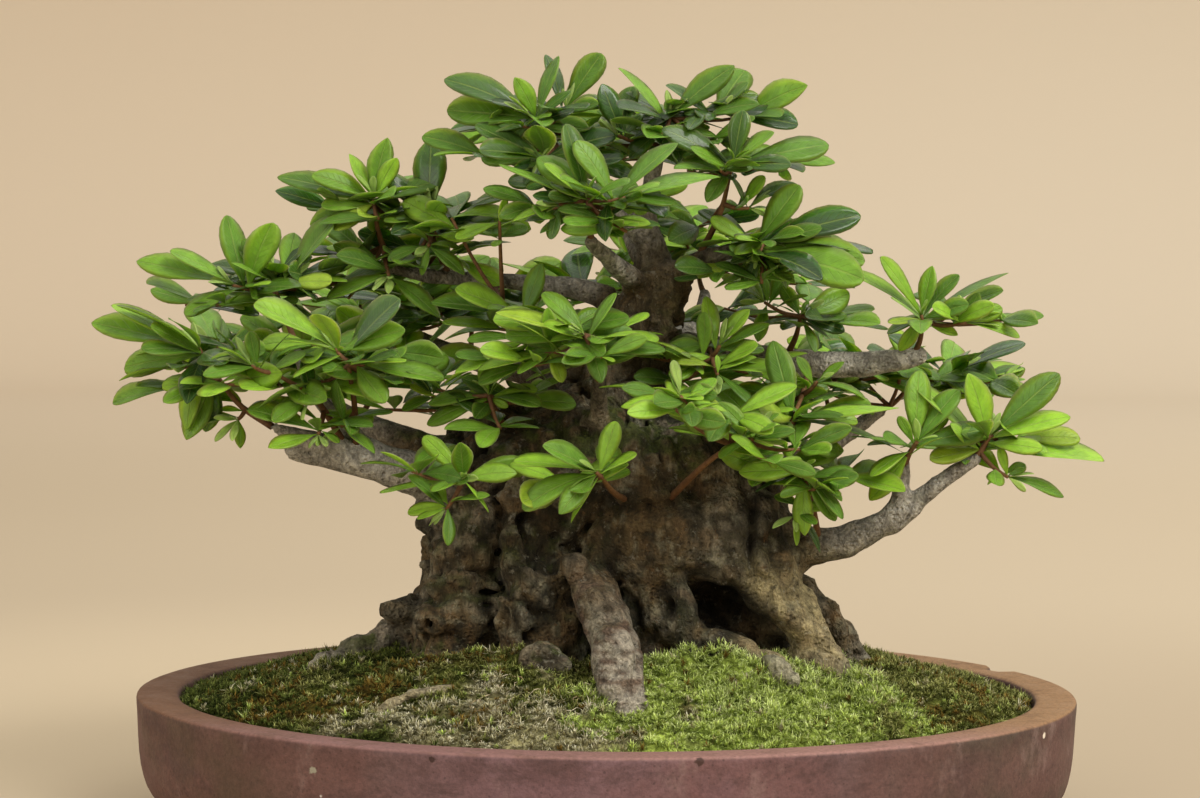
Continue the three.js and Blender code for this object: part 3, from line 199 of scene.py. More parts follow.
# Sprays that the photo shows: name, stem, and shoots. A shoot is its end and its leaves, each with its
# turn seen from the front, its lean toward the viewer and its length.
FRONT_SPRAYS = [
    ("left_low", [[-138, -44, 171], [-152, -42, 180], [-166, -38, 198]], [
      [-169, -38, 203, [[162, 0, 46], [151, 12, 40], [140, 25, 38], [158, 48, 31], [104, 50, 30],
        [250, 30, 31], [243, 60, 28], [185, -15, 38], [172, -30, 36]]],
      [-163, -44, 190, [[246, 20, 27], [262, 25, 22], [200, 35, 24]]],
      [-152, -46, 174, [[176, 10, 17], [280, 20, 12]]]]),
    ("left_top", [[-128, -20, 197], [-136, -12, 215], [-141, -8, 227]], [
      [-158, -14, 228, [[162, 0, 42], [145, 15, 31], [106, -5, 32], [77, 22, 30], [13, 50, 28],
        [200, 10, 26]]],
      [-144, -4, 231, [[161, -10, 27], [123, 10, 20], [60, -20, 24]]],
      [-134, -6, 231, [[57, 0, 34], [121, 15, 24], [20, 5, 35], [10, 40, 26], [4, 20, 28], [80, -35, 30]]]]),
    ("left_mid", [[-110, -41, 166], [-120, -50, 183], [-136, -58, 194]], [
      [-145, -60, 197, [[139, 30, 17], [165, 0, 21], [180, 30, 22], [104, 0, 15], [54, 30, 22]]],
      [-122, -54, 183, [[95, 10, 17], [200, 40, 20]]],
      [-118, -58, 169, [[159, 0, 30], [100, 50, 15], [345, 40, 12], [190, 40, 24]]]]),
    ("left_inner", [[-104, -38, 162], [-104, -54, 184], [-106, -60, 199]], [
      [-111, -58, 204, [[147, 5, 38], [53, 10, 34], [100, 45, 26], [200, 35, 24]]],
      [-99, -60, 198, [[86, 0, 16], [40, 20, 12], [350, 5, 33], [20, 50, 24], [310, 40, 22]]],
      [-109, -54, 172, [[190, 20, 12], [100, 40, 22], [330, 40, 22]]]]),
    ("upper_left", [[-92, 10, 234], [-98, 6, 249], [-100, 2, 262]], [
      [-100, 2, 265, [[85, 0, 26], [119, 5, 22], [160, 0, 42], [145, 15, 28], [65, 10, 20], [197, 0, 29],
        [208, 30, 22], [30, 45, 26]]],
      [-105, 22, 241, [[166, -5, 19], [207, 10, 16], [67, -30, 30], [140, -20, 26]]],
      [-93, -6, 232, [[328, 10, 28], [200, 20, 28], [150, 35, 26]]]]),
    ("upper_left_inner", [[-68, 12, 231], [-75, 8, 247], [-77, 4, 258]], [
      [-77, 4, 260, [[90, 0, 33], [124, 5, 28], [30, 0, 31], [8, 10, 43], [11, 40, 22], [170, 35, 24]]],
      [-76, -12, 245, [[190, 10, 18], [260, 30, 14], [330, 20, 20]]],
      [-65, 2, 240, [[23, 0, 26], [27, 30, 20], [330, 25, 24]]]]),
    ("centre_left", [[-50, 11, 229], [-44, -14, 220], [-35, -30, 215]], [
      [-33, -32, 215, [[164, 0, 37], [151, 15, 30], [71, 5, 24], [48, 10, 18], [300, 45, 22]]],
      [-46, -24, 256, [[80, 30, 12], [20, 30, 18], [200, 20, 20]]]]),
    ("apex_left", [[-17, -8, 278], [-26, -10, 292], [-30, -12, 298]], [
      [-33, -14, 299, [[146, 0, 40], [144, 12, 19], [175, 0, 36], [80, 0, 28], [46, 10, 18], [110, 20, 20],
        [215, 25, 26]]],
      [-19, -6, 303, [[62, 0, 28], [100, -10, 26], [20, 40, 22]]],
      [-29, -28, 281, [[176, 0, 26], [155, 0, 32], [220, 35, 14], [158, 30, 20], [20, 40, 24]]]]),
    ("apex_front", [[-7, -41, 246], [-9, -50, 255], [-10, -56, 265]], [
      [-10, -58, 267, [[143, 0, 39], [102, 5, 32], [125, 25, 24], [200, 30, 22], [330, 45, 22]]],
      [6, -60, 266, [[53, 0, 33], [115, 5, 28], [145, 0, 33], [20, 0, 41], [2, 20, 20], [250, 45, 20]]],
      [-21, -58, 263, [[190, 10, 20], [250, 35, 16]]]]),
    ("apex_top", [[19, 0, 280], [22, 0, 292], [25, 0, 300]], [
      [26, -2, 302, [[130, 0, 31], [47, 0, 35], [150, 5, 19], [82, 0, 10], [300, 45, 22], [210, 30, 22]]],
      [3, -6, 292, [[111, 0, 24], [54, 0, 13], [180, 30, 22], [90, -30, 28]]],
      [46, 2, 302, [[143, 0, 23], [51, 0, 18], [40, 10, 17], [356, 0, 34], [172, 20, 13], [60, -30, 30]]]]),
    ("apex_right", [[36, -5, 239], [46, -14, 260], [50, -20, 278]], [
      [51, -21, 281, [[82, 0, 22], [16, 0, 41], [6, 15, 25], [45, 10, 21], [127, 20, 18], [145, 0, 33],
        [230, 30, 20]]],
      [58, -14, 262, [[115, 30, 17], [65, 30, 17], [40, -15, 24]]]]),
    ("right_top", [[52, -11, 244], [60, -17, 247], [66, -20, 248]], [
      [63, -18, 250, [[21, 0, 42], [4, 0, 44], [57, 10, 30], [24, 0, 25], [30, 35, 18], [148, 5, 21]]],
      [62, -24, 243, [[3, 10, 43], [352, 20, 46], [353, 30, 30], [249, 10, 18], [317, 15, 18],
        [200, 25, 14]]]]),
    ("centre_mid", [[-4, -55, 190], [-8, -66, 205], [-10, -72, 211]], [
      [-10, -73, 213, [[127, 0, 24], [64, 5, 22], [2, 0, 31], [186, 40, 16], [157, 10, 38], [300, 45, 20]]],
      [-26, -68, 203, [[182, 0, 37], [180, 25, 30], [198, 50, 18], [315, 50, 16], [100, 30, 20]]]]),
    ("shoulder_left", [[-40, -10, 164], [-46, -32, 176], [-49, -50, 185]], [
      [-49, -52, 186, [[107, 10, 12], [193, 0, 28], [15, 10, 20], [332, 30, 9], [60, 45, 24]]],
      [-73, -40, 184, [[73, 0, 8], [189, 10, 15], [120, 30, 20]]]]),
    ("centre_right", [[40, 18, 200], [42, -6, 203], [43, -20, 200]], [
      [37, -22, 198, [[84, 5, 20], [150, 20, 22], [200, 40, 18]]],
      [46, -24, 205, [[26, 0, 24], [60, 20, 20], [100, -10, 24]]],
      [45, -30, 193, [[85, 0, 8], [10, 0, 30], [30, 15, 17], [330, 30, 20]]]]),
    ("right_inner", [[76, 22, 197], [80, 10, 208], [81, 0, 217]], [
      [80, -2, 218, [[350, 0, 20], [330, 10, 16], [116, 0, 15], [62, 0, 8], [304, 25, 17], [20, -20, 26]]],
      [66, 6, 222, [[95, 10, 12], [140, 0, 22], [60, -20, 20], [250, 30, 18]]]]),
    ("right_mid", [[86, 19, 194], [82, -12, 186], [76, -38, 176]], [
      [75, -42, 174, [[102, 0, 33], [358, 0, 47], [17, 10, 44], [150, 35, 12], [190, 20, 14], [60, 45, 22]]],
      [87, -22, 190, [[40, 0, 14], [120, 10, 14], [355, 20, 22]]]]),
    ("front_right", [[24, -48, 142], [40, -68, 160], [53, -74, 170]], [
      [58, -76, 170, [[153, 5, 22], [124, 10, 20], [60, 15, 14], [20, 20, 18], [210, 40, 16]]],
      [28, -90, 188, [[275, 20, 8], [41, 5, 9], [185, 0, 24], [118, 10, 11], [150, 30, 16]]]]),
    ("front_left", [[-58, -34, 154], [-59, -62, 154], [-58, -80, 153]], [
      [-57, -82, 154, [[130, 0, 23], [187, 0, 34], [18, 5, 21], [314, 15, 17], [90, 40, 20]]],
      [-65, -78, 141, [[129, 30, 22], [180, 5, 16], [195, 20, 13], [38, 30, 7], [280, 35, 16]]]]),
    ("front_centre", [[8, -46, 142], [2, -74, 148], [-3, -92, 156]], [
      [-5, -95, 158, [[167, 0, 33], [192, 10, 32], [234, 5, 22], [74, 0, 22], [36, 0, 17], [216, 30, 24]]]]),
    ("right_low_inner", [[88, -27, 123], [84, -46, 140], [80, -54, 152]], [
      [80, -57, 156, [[265, 10, 24], [326, 10, 19], [178, 5, 27], [200, 30, 12], [317, 20, 24],
        [305, 20, 22]]],
      [76, -54, 137, [[317, 5, 18], [280, 20, 12]]]]),
    ("right_upper", [[130, 16, 198], [133, 12, 206], [134, 10, 214]], [
      [133, 9, 217, [[139, 0, 37], [122, 15, 32], [79, 0, 22], [59, 5, 24], [33, 0, 42], [27, 35, 22],
        [180, 30, 18], [245, 10, 17], [339, 10, 16]]],
      [152, 6, 214, [[102, 0, 12], [70, 5, 14], [24, 5, 18], [357, 0, 24]]]]),
    ("right_lower", [[122, -38, 157], [124, -40, 162], [127, -42, 167]], [
      [127, -42, 169, [[90, 0, 30], [115, 10, 14], [17, 0, 30], [55, -10, 28], [158, 10, 27], [229, 10, 25],
        [200, 30, 22]]]]),
    ("right_end", [[150, -34, 157], [155, -34, 164], [158, -34, 169]], [
      [160, -35, 170, [[128, 0, 40], [99, 10, 30], [45, 0, 39], [23, 0, 35], [354, 0, 51], [138, 30, 20],
        [160, 35, 14]]],
      [165, -38, 152, [[105, 0, 13], [34, 20, 8], [352, 0, 25], [208, 15, 8]]]]),
]

# Sprays that grow by rule: name, root, middle and half size of the pad of foliage, and number of shoots
RULE_SPRAYS = [
    ("back_left", [-90, 99, 203], [-108, 112, 216], [34, 26, 14], 3),
    ("back_left_inner", [-62, 77, 193], [-62, 96, 218], [26, 26, 14], 2),
    ("back_middle", [44, 103, 221], [40, 118, 238], [34, 22, 16], 3),
    ("back_middle_low", [36, 70, 209], [4, 98, 224], [24, 24, 12], 2),
    ("back_right", [122, 95, 169], [140, 104, 184], [34, 28, 14], 3),
    ("back_right_inner", [104, 81, 158], [98, 104, 184], [26, 20, 12], 2),
    ("back_top", [-2, 52, 266], [-8, 62, 284], [32, 22, 13], 3),
    ("left_behind", [-132, 55, 179], [-150, 48, 196], [34, 28, 12], 3),
    ("left_behind_inner", [-110, 49, 167], [-100, 58, 192], [24, 22, 12], 2),
]


# Random numbers, noise and shares

def seeded(seed):
    """The same random numbers as the part's own rule, from 0 to 1."""
    state = seed & 0xFFFFFFFF

    def draw():
        nonlocal state
        state = (state + 0x6D2B79F5) & 0xFFFFFFFF
        mixed = ((state ^ (state >> 15)) * (state | 1)) & 0xFFFFFFFF
        step = ((mixed ^ (mixed >> 7)) * (mixed | 61)) & 0xFFFFFFFF
        mixed = (mixed ^ ((mixed + step) & 0xFFFFFFFF)) & 0xFFFFFFFF
        return (mixed ^ (mixed >> 14)) / 4294967296

    return draw


def lattice(ix, iy, iz, seed):
    """A random number from 0 to 1 for each whole-number place."""
    mixed = ix.astype(np.uint32) * np.uint32(374761393)
    mixed += iy.astype(np.uint32) * np.uint32(668265263)
    mixed += iz.astype(np.uint32) * np.uint32(2147483647)
    mixed += np.uint32(seed * 1274126177 & 0xFFFFFFFF)
    mixed = (mixed ^ (mixed >> np.uint32(13))) * np.uint32(1274126177)
    mixed = (mixed ^ (mixed >> np.uint32(16))) * np.uint32(2246822519)
    return ((mixed ^ (mixed >> np.uint32(15))) & np.uint32(0xFFFFFF)).astype(np.float32) / 16777215.0


def corners(low, share):
    """The eight grid corners round each place, and the weight of each."""
    for corner in range(8):
        offset = np.array([corner & 1, corner >> 1 & 1, corner >> 2 & 1])
        yield low + offset, np.prod(np.where(offset, share, 1 - share), axis=1)


def noise(points, scale, seed):
    """Smooth noise from 0 to 1 at each point. The scale may differ along each axis."""
    place = points / np.asarray(scale, dtype=np.float32)
    low = np.floor(place).astype(np.int64)
    share = (place - low).astype(np.float32)
    share = share * share * (3 - 2 * share)
    return sum(weight * lattice(*corner.T, seed) for corner, weight in corners(low, share))


def noises(points, *layers):
    """Layers of noise added up, each given by its scale, seed and height."""
    return sum(height * noise(points, scale, seed) for scale, seed, height in layers)


def ridged(points, scale, seed):
    """Noise with sharp crests where plain noise passes its middle."""
    return 1 - np.abs(2 * noise(points, scale, seed) - 1)


def ramp(value, low, high):
    """A smooth share from 0 at the low value to 1 at the high one."""
    share = np.clip((value - low) / (high - low), 0, 1)
    return share * share * (3 - 2 * share)


def window(value, rise, fall):
    """A smooth share that rises over one span of values and falls over a later one."""
    return ramp(value, *rise) * (1 - ramp(value, *fall))


def reach(points, centre, radii):
    """Distance from the middle of a rounded body, 1 on its surface."""
    return np.linalg.norm((points - np.array(centre)) / np.array(radii), axis=1)


def spread(values, count):
    """Values spaced evenly along a length, read off at a number of even places."""
    return np.interp(np.linspace(0, 1, count), np.linspace(0, 1, len(values)), values)


def mix_rows(a, b, share):
    """Between two colours, or rows of colours, by a share for each row."""
    return np.asarray(a) * (1 - share[:, None]) + np.asarray(b) * share[:, None]


def linear(red, green, blue):
    """A screen colour from 0 to 255 as the linear colour that Blender works in."""
    shares = [value / 255 for value in (red, green, blue)]
    return tuple(share / 12.92 if share <= 0.04045 else ((share + 0.055) / 1.055) ** 2.4 for share in shares)


# Meshes

def mesh_piece(name, points, faces, materials, replaced=(), smooth=True, slots=None):
    """A mesh object from points in millimetres. It rides on the part's only body."""
    mesh = bpy.data.meshes.new(name)
    places = (np.asarray(points, dtype=np.float64) * MM).tolist()
    mesh.from_pydata(places, [], [list(face) for face in faces])
    for material in materials:
        mesh.materials.append(material)
    if slots is not None:
        mesh.polygons.foreach_set("material_index", np.asarray(slots, dtype=np.int32))
    mesh.polygons.foreach_set("use_smooth", np.full(len(mesh.polygons), smooth))
    mesh.update()
    piece = bpy.data.objects.new(name, mesh)
    bpy.context.scene.collection.objects.link(piece)
    if replaced is not None:
        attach(piece, "root")
        if replaced:
            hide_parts(*replaced)
    return piece


def paint(piece, name, rows):
    """Stores a colour, or three or four numbers, at each point of a piece."""
    rows = np.asarray(rows, dtype=np.float32)
    full = np.ones((len(rows), 4), dtype=np.float32)
    full[:, :rows.shape[1]] = rows
    piece.data.attributes.new(name, "FLOAT_COLOR", "POINT").data.foreach_set("color", full.ravel())


def closed_faces(rows, sides):
    """Quads between rings of points, then a flat face over the first ring and one over the last."""
    faces = []
    for row in range(rows - 1):
        for side in range(sides):
            a = row * sides + side
            b = row * sides + (side + 1) % sides
            faces.append((a, b, b + sides, a + sides))
    last = (rows - 1) * sides
    return faces + [tuple(range(sides))[::-1], tuple(range(last, last + sides))]


def curve_points(points, steps):
    """Points on a smooth curve through the given ones, evenly spaced by its own knots."""
    points = np.asarray(points, dtype=np.float64)
    ends = np.vstack([2 * points[0] - points[1], points, 2 * points[-1] - points[-2]])

    def between(a, b, low, high, t):
        return ((high - t) * a + (t - low) * b) / (high - low)

    out = []
    for number in range(steps + 1):
        place = number / steps * (len(points) - 1)
        index = min(int(place), len(points) - 2)
        level = list(ends[index:index + 4])
        gaps = np.maximum(np.linalg.norm(np.diff(level, axis=0), axis=1), 1e-4)
        knots = np.concatenate([[0], np.cumsum(gaps ** 0.5)])
        t = knots[1] + (place - index) * (knots[2] - knots[1])
        for depth in (1, 2):
            level = [
                between(level[k], level[k + 1], knots[k], knots[k + depth], t) for k in range(4 - depth)
            ]
        out.append(between(level[0], level[1], knots[1], knots[2], t))
    return np.array(out)


def tube(path, radii, sides):
    """Points and faces of a closed tube along a path."""
    path = np.asarray(path, dtype=np.float64)
    points = []
    across = None
    for index, (centre, radius) in enumerate(zip(path, spread(radii, len(path)))):
        along = path[min(index + 1, len(path) - 1)] - path[max(index - 1, 0)]
        along /= np.linalg.norm(along) + 1e-9
        if across is None:
            across = np.cross(along, (0.3, 0.2, 1.0))
        across = across - along * np.dot(across, along)
        across /= np.linalg.norm(across) + 1e-9
        other = np.cross(along, across)
        for side in range(sides):
            angle = 2 * math.pi * side / sides
            points.append(centre + radius * (math.cos(angle) * across + math.sin(angle) * other))
    return np.array(points), closed_faces(len(path), sides)


# Trunk, roots and branches

def smooth_min(a, b, blend):
    """The lesser of two distances, rounded where they are alike."""
    near = np.maximum(blend - np.abs(a - b), 0) / blend
    return np.minimum(a, b) - near * near * blend * 0.25


def capsule(places, start, end, radius_start, radius_end):
    """Distance from a capsule whose radius changes along its length."""
    line = [end[axis] - start[axis] for axis in range(3)]
    length = sum(value * value for value in line)
    offset = [places[axis] - start[axis] for axis in range(3)]
    along = np.clip((offset[0] * line[0] + offset[1] * line[1] + offset[2] * line[2]) / length, 0, 1)
    gap = np.sqrt(sum((offset[axis] - along * line[axis]) ** 2 for axis in range(3)))
    return gap - (radius_start + (radius_end - radius_start) * along)


class Grid:
    """Distances from the wood on a grid of points, below zero inside it."""

    def __init__(self):
        self.low = np.array(TREE_LOW)
        self.count = np.ceil((np.array(TREE_HIGH) - self.low) / CELL).astype(int) + 1
        self.axes = [self.low[axis] + CELL * np.arange(self.count[axis]) for axis in range(3)]
        self.values = np.full(self.count, 40.0, dtype=np.float32)

    def shape(self, path, radii, margin, join):
        """Joins a string of capsules to the wood, by a rule for the old distances and their own."""
        low = np.min(path, axis=0) - (max(radii) + margin)
        high = np.max(path, axis=0) + (max(radii) + margin)
        cut = []
        for axis in range(3):
            first = int(max(0, math.floor((low[axis] - self.low[axis]) / CELL)))
            last = int(min(self.count[axis], math.ceil((high[axis] - self.low[axis]) / CELL) + 1))
            cut.append(slice(first, max(first + 1, last)))
        cut = tuple(cut)
        places = np.ix_(*[self.axes[axis][cut[axis]].astype(np.float32) for axis in range(3)])
        near = None
        for k in range(len(path) - 1):
            one = capsule(places, path[k], path[k + 1], radii[k], radii[k + 1])
            near = one if near is None else np.minimum(near, one)
        self.values[cut] = join(self.values[cut], near)

    def at(self, points):
        """Distances at free points, from the grid round them."""
        place = np.clip((np.asarray(points) - self.low) / CELL, 0, self.count - 1.001)
        low = place.astype(int)
        return sum(weight * self.values[tuple(corner.T)] for corner, weight in corners(low, place - low))


def soil_height(x, y):
    """Top of the mound of soil."""
    out = np.minimum(1, (x / SOIL_HALF_X) ** 2 + (y / SOIL_HALF_Y) ** 2)
    return SOIL_EDGE + SOIL_RISE * (1 - out) ** 1.15


def wood_grid():
    """The trunk's lobes and hollows, then the limbs and their cuts, then the bark's own relief."""
    grid = Grid()
    for start, end, *radii in LOBES:
        grid.shape([start, end], radii, 24, lambda wood, near: smooth_min(wood, near, TRUNK_BLEND))
    for start, end, *radii in HOLLOWS:
        grid.shape([start, end], radii, 12, lambda wood, near: -smooth_min(-wood, near, HOLLOW_BLEND))
    trunk = grid.values.copy()
    for points, radii in LIMBS:
        path = curve_points(points, 4 * (len(points) - 1))
        radii = spread(radii, len(path))
        grid.shape(path, radii, 14, lambda wood, near: smooth_min(wood, near, 0.5 * radii[0] + 1.5))
    for start, end, *radii in CUTS:
        grid.shape([start, end], radii, 12, lambda wood, near: np.maximum(wood, -near))
    relief(grid, trunk)
    soil = soil_height(grid.axes[0][:, None], grid.axes[1][None, :])[:, :, None] - TREE_SUNK
    grid.values = np.maximum(grid.values, (soil - grid.axes[2][None, None, :]).astype(np.float32))
    return grid


def relief(grid, trunk):
    """Clefts, lumps and grain of the bark: deep on the trunk, slight on the branches."""
    near = np.argwhere(np.abs(grid.values) < 12)
    points = (grid.low + near * CELL).astype(np.float32)
    index = tuple(near.T)
    x, y, z = points.T
    old = np.maximum(1 - ramp(trunk[index], 2, 12), 0.55 * (1 - ramp(z, 104, 126)))
    sway = (noise(points, 24, 3)[:, None] - 0.5) * np.array([[16, 12, 14]], dtype=np.float32)
    rough = ramp(noise(points, 30, 43), 0.3, 0.6) * 0.8 + 0.35
    rough += 0.5 * (1 - ramp(x, -24, 0))
    rough *= 0.3 + 0.7 * ramp(reach(points, [22, -50, 128], [30, 26, 24]), 0.7, 1.2)
    old *= 0.4 + 0.6 * ramp(reach(points, [72, -42, 98], [34, 28, 30]), 0.6, 1.15)
    clefts = ridged(points + sway, (24, 24, 40), 11)
    folds = ridged(points + sway, (13, 13, 15), 12)
    warts = ridged(points + 0.5 * sway, (6.5, 6.5, 7), 13)
    change = 4.6 * (ramp(clefts, 0.78, 1.0) - 0.2) * old * (0.35 + 0.65 * (1 - ramp(z, 150, 185)))
    change += 3.4 * (ramp(folds, 0.7, 1.0) - 0.25) * old * rough
    change += 1.7 * (ramp(warts, 0.6, 1.0) - 0.3) * old * rough
    change += 5.0 * (noise(points, (17, 17, 21), 21) - 0.52) * old
    for height, scale, seed, least in [(5.2, 8.5, 31, 0.14), (3.6, 4.6, 41, 0.25), (2.0, 3.2, 42, 0.2)]:
        change += height * (noise(points, scale, seed) - 0.5) * (least + (1 - least) * old * rough)
    change *= 1 - 0.7 * ramp(-x, 46, 54) * ramp(-y, 78, 84)
    grid.values[index] += change


def surface_net(grid):
    """Points and quads of the surface where the grid passes zero."""
    values = grid.values
    inside = values < 0
    corner_list = [(a, b, c) for a in (0, 1) for b in (0, 1) for c in (0, 1)]
    shifted = [inside[tuple(slice(k, k - 1 or None) for k in corner)] for corner in corner_list]
    total = sum(part.astype(np.int8) for part in shifted)
    cells = np.argwhere((total > 0) & (total < 8))
    sums = np.zeros((len(cells), 3))
    hits = np.zeros(len(cells))
    for first in corner_list:
        for axis in range(3):
            if first[axis]:
                continue
            second = tuple(first[k] + (k == axis) for k in range(3))
            value_a = values[tuple((cells + first).T)]
            value_b = values[tuple((cells + second).T)]
            crossed = (value_a < 0) != (value_b < 0)
            share = np.where(crossed, value_a / np.where(crossed, value_a - value_b, 1), 0)
            for k in range(3):
                sums[:, k] += crossed * (first[k] + (share if k == axis else 0))
            hits += crossed
    points = grid.low + CELL * (cells + sums / hits[:, None])
    number = np.full(values.shape, -1, dtype=np.int64)
    number[tuple(cells.T)] = np.arange(len(cells))
    faces = []
    for axis in range(3):
        crossed = inside != np.roll(inside, -1, axis=axis)
        for k in range(3):
            for end in (slice(-1, None), slice(0, 1)):
                edge = [slice(None)] * 3
                edge[k] = end
                crossed[tuple(edge)] = False
        places = np.argwhere(crossed)
        one, two = np.roll(np.eye(3, dtype=int), -axis - 1, axis=0)[:2]
        around = (places, places - one, places - one - two, places - two)
        quad = np.stack([number[tuple(place.T)] for place in around], axis=1)
        turned = ~inside[tuple(places.T)]
        quad[turned] = quad[turned][:, ::-1]
        faces.append(quad)
    return points, np.concatenate(faces)


def without_scraps(points, quads):
    """The surface without the small loose scraps that the relief leaves beside it."""
    body = np.arange(len(points))
    before = None
    while before is None or not np.array_equal(body, before):
        before = body.copy()
        np.minimum.at(body, quads.ravel(), np.repeat(before[quads].min(axis=1), 4))
        body = body[body]
    keep = np.bincount(body, minlength=len(points))[body] > SCRAP_POINTS
    number = np.cumsum(keep) - 1
    return points[keep], number[quads[keep[quads[:, 0]]]]


def point_normals(points, quads):
    """The direction out of the wood at each point."""
    normal = np.cross(points[quads[:, 2]] - points[quads[:, 0]], points[quads[:, 3]] - points[quads[:, 1]])
    total = np.zeros_like(points)
    for corner in range(4):
        np.add.at(total, quads[:, corner], normal)
    return total / (np.linalg.norm(total, axis=1)[:, None] + 1e-9)


def hollowness(points, quads, normals):
    """How deep each point lies between its neighbours, evened out along the surface."""
    pairs = np.concatenate([quads[:, [k, (k + 1) % 4]] for k in range(4)])

    def gathered(values):
        """What the neighbours of each point hold, added up."""
        total = np.zeros_like(values)
        np.add.at(total, pairs[:, 0], values[pairs[:, 1]])
        np.add.at(total, pairs[:, 1], values[pairs[:, 0]])
        return total

    near = np.maximum(gathered(np.ones(len(points))), 1)
    smooth = points.copy()
    for _ in range(7):
        smooth = gathered(smooth) / near[:, None]
    depth = np.sum((smooth - points) * normals, axis=1)
    for _ in range(2):
        depth = gathered(depth) / near
    return depth


BRANCH_GREY = linear(154, 150, 139)
BRANCH_PALE = linear(186, 182, 170)
BARK_GREY = linear(138, 130, 110)
BARK_BROWN = linear(92, 78, 54)
BARK_DARK = linear(40, 35, 23)
BARK_EARTH = linear(104, 82, 54)
BARK_GRIME = linear(32, 31, 20)
ROOT_BROWN = linear(98, 80, 66)
# Painted shade for the clefts and for the cave under the arch
CLEFT_SHADE = linear(22, 19, 13)
BARK_MOSS = linear(66, 74, 30)
BARK_OLIVE = linear(158, 144, 106)
LICHEN = linear(150, 148, 124)
ROOT_GREY = linear(156, 148, 132)


def bark_colours(points, normals, depth, trunk_share):
    """Grey weathered wood on the ridges, brown in the clefts, moss where it stays damp. Painted shade
    darkens the clefts and the cave under the arch, and painted light makes the bare branches under the
    leaves paler. The fourth number tells the material how many dark specks to lay on."""
    x, y, z = points.T
    broad = noise(points, (26, 26, 34), 51)
    middle = noise(points, (9, 9, 13), 52)
    fine = noise(points, 3.4, 53)
    even = middle * 0.5 + fine * 0.5

    # Which part of the tree a point belongs to
    front_root = ramp(-y, 58, 76) * (1 - ramp(z, 112, 130))
    middle_root = front_root * (1 - ramp(np.abs(x - 3), 15, 24))
    foot = (1 - ramp(np.abs(x - 78), 14, 30)) * ramp(-y, 22, 44)
    foot *= 1 - ramp(z, 112, 126)
    left_root = ramp(-x, 84, 94) * (1 - ramp(z, 86, 92))
    thin_root = ramp(-x, 50, 56) * ramp(-y, 76, 82)
    pale_bit = ramp(x, 50, 56) * ramp(-y, 72, 78)
    left = 1 - ramp(x, -30, 10)
    low = 1 - ramp(z, 84, 104)
    shoulder = window(z, (138, 160), (205, 228)) * trunk_share
    # Bare branches: pale weathered wood, made paler still as painted light where the leaves above shade them
    bare_and_lit = ramp(-x, 58, 84) * ramp(z, 128, 140) * ramp(-y, 0, 20)
    upper = ramp(x, 62, 86) * ramp(z, 176, 186) * (1 - ramp(z, 206, 214))
    lower = ramp(x, 84, 100) * ramp(z, 108, 116) * ramp(-y, 8, 20)
    bare_and_lit = np.clip(bare_and_lit + upper + 0.5 * lower, 0, 1)
    arch = reach(points, [48, -42, 97], [27, 22, 15])
    body = reach(points, [22, -50, 128], [34, 28, 26])

    # What grows or lies on it
    grey = ramp(broad * 0.5 + middle * 0.3 + fine * 0.2, 0.46, 0.66)
    earth = ramp(noises(points, (12, 57, 0.6), (5, 58, 0.4)), 0.54, 0.64)
    grime = ramp(noises(points, ((12, 12, 16), 60, 0.55), (5, 61, 0.45)), 0.5, 0.6)
    grime *= trunk_share * (1 - ramp(np.abs(x), 76, 90))
    lichen = ramp(noises(points, (5.2, 55, 0.6), (2.2, 56, 0.4)), 0.6, 0.7)
    bands = noise(points, (9, 9, 1.8), 59) * 0.6 + fine * 0.4
    ridge = ramp(-depth, 0.3, 1.6) * (0.3 + 0.5 * ramp(broad, 0.4, 0.6))
    damp = ramp(noise(points, 15, 54) * 0.55 + fine * 0.45, 0.5, 0.66)
    moss = damp * np.clip(0.85 * shoulder + 0.5 * low * left + 0.3 * left + 0.15, 0, 1)
    moss *= ramp(normals[:, 2], -0.4, 0.5) * (0.06 + 0.94 * trunk_share)
    moss *= 1 - 0.9 * bare_and_lit

    trunk = mix_rows(mix_rows(BARK_BROWN, BARK_GREY, grey * 0.75), BARK_EARTH, earth * 0.55)
    branch = mix_rows(BARK_BROWN, BRANCH_GREY, 0.55 + 0.45 * ramp(even, 0.34, 0.56))
    root = mix_rows(ROOT_BROWN, ROOT_GREY, ramp(bands, 0.34, 0.56) * (1 - ramp(z, 88, 112)))
    pale = mix_rows(BRANCH_GREY, BRANCH_PALE, ramp(even, 0.36, 0.58))
    colour = mix_rows(branch, trunk, trunk_share)
    for coat, share in [
        (BARK_DARK, ramp(even, 0.46, 0.68) * (0.04 + 0.74 * trunk_share)),
        (BARK_GRIME, grime * (0.2 + 0.62 * ramp(body, 0.7, 1.2))),
        (LICHEN, lichen * (0.35 + 0.2 * (1 - trunk_share))),
        (root, 0.9 * middle_root),
        (BARK_OLIVE, foot * 0.85 * (0.35 + 0.65 * ramp(even, 0.34, 0.6))),
        # Painted shade: darker the deeper a point lies between its neighbours
        (CLEFT_SHADE, ramp(depth, 0.0, 1.3) * (0.3 + 0.65 * trunk_share)),
        (BARK_GREY, ridge * 0.6),
        # Painted shade in the cave under the arch
        (CLEFT_SHADE, (1 - ramp(arch, 0.7, 1.1)) * 0.85),
        (LICHEN, pale_bit * (0.5 + 0.4 * fine)),
        (ROOT_GREY, left_root * (0.35 + 0.35 * middle)),
        (BARK_OLIVE, thin_root * 0.7),
        (BARK_BROWN, ramp(z, 178, 196) * trunk_share * 0.6),
        (pale, 0.85 * bare_and_lit),
    ]:
        colour = mix_rows(colour, coat, share)
    # Painted light: the upper right branch made paler still, to offset the shade of the leaves above it
    colour = colour * (1 + 0.4 * upper[:, None])
    return np.column_stack([mix_rows(colour, BARK_MOSS, np.clip(moss, 0, 0.9)), 1 - 0.75 * bare_and_lit])


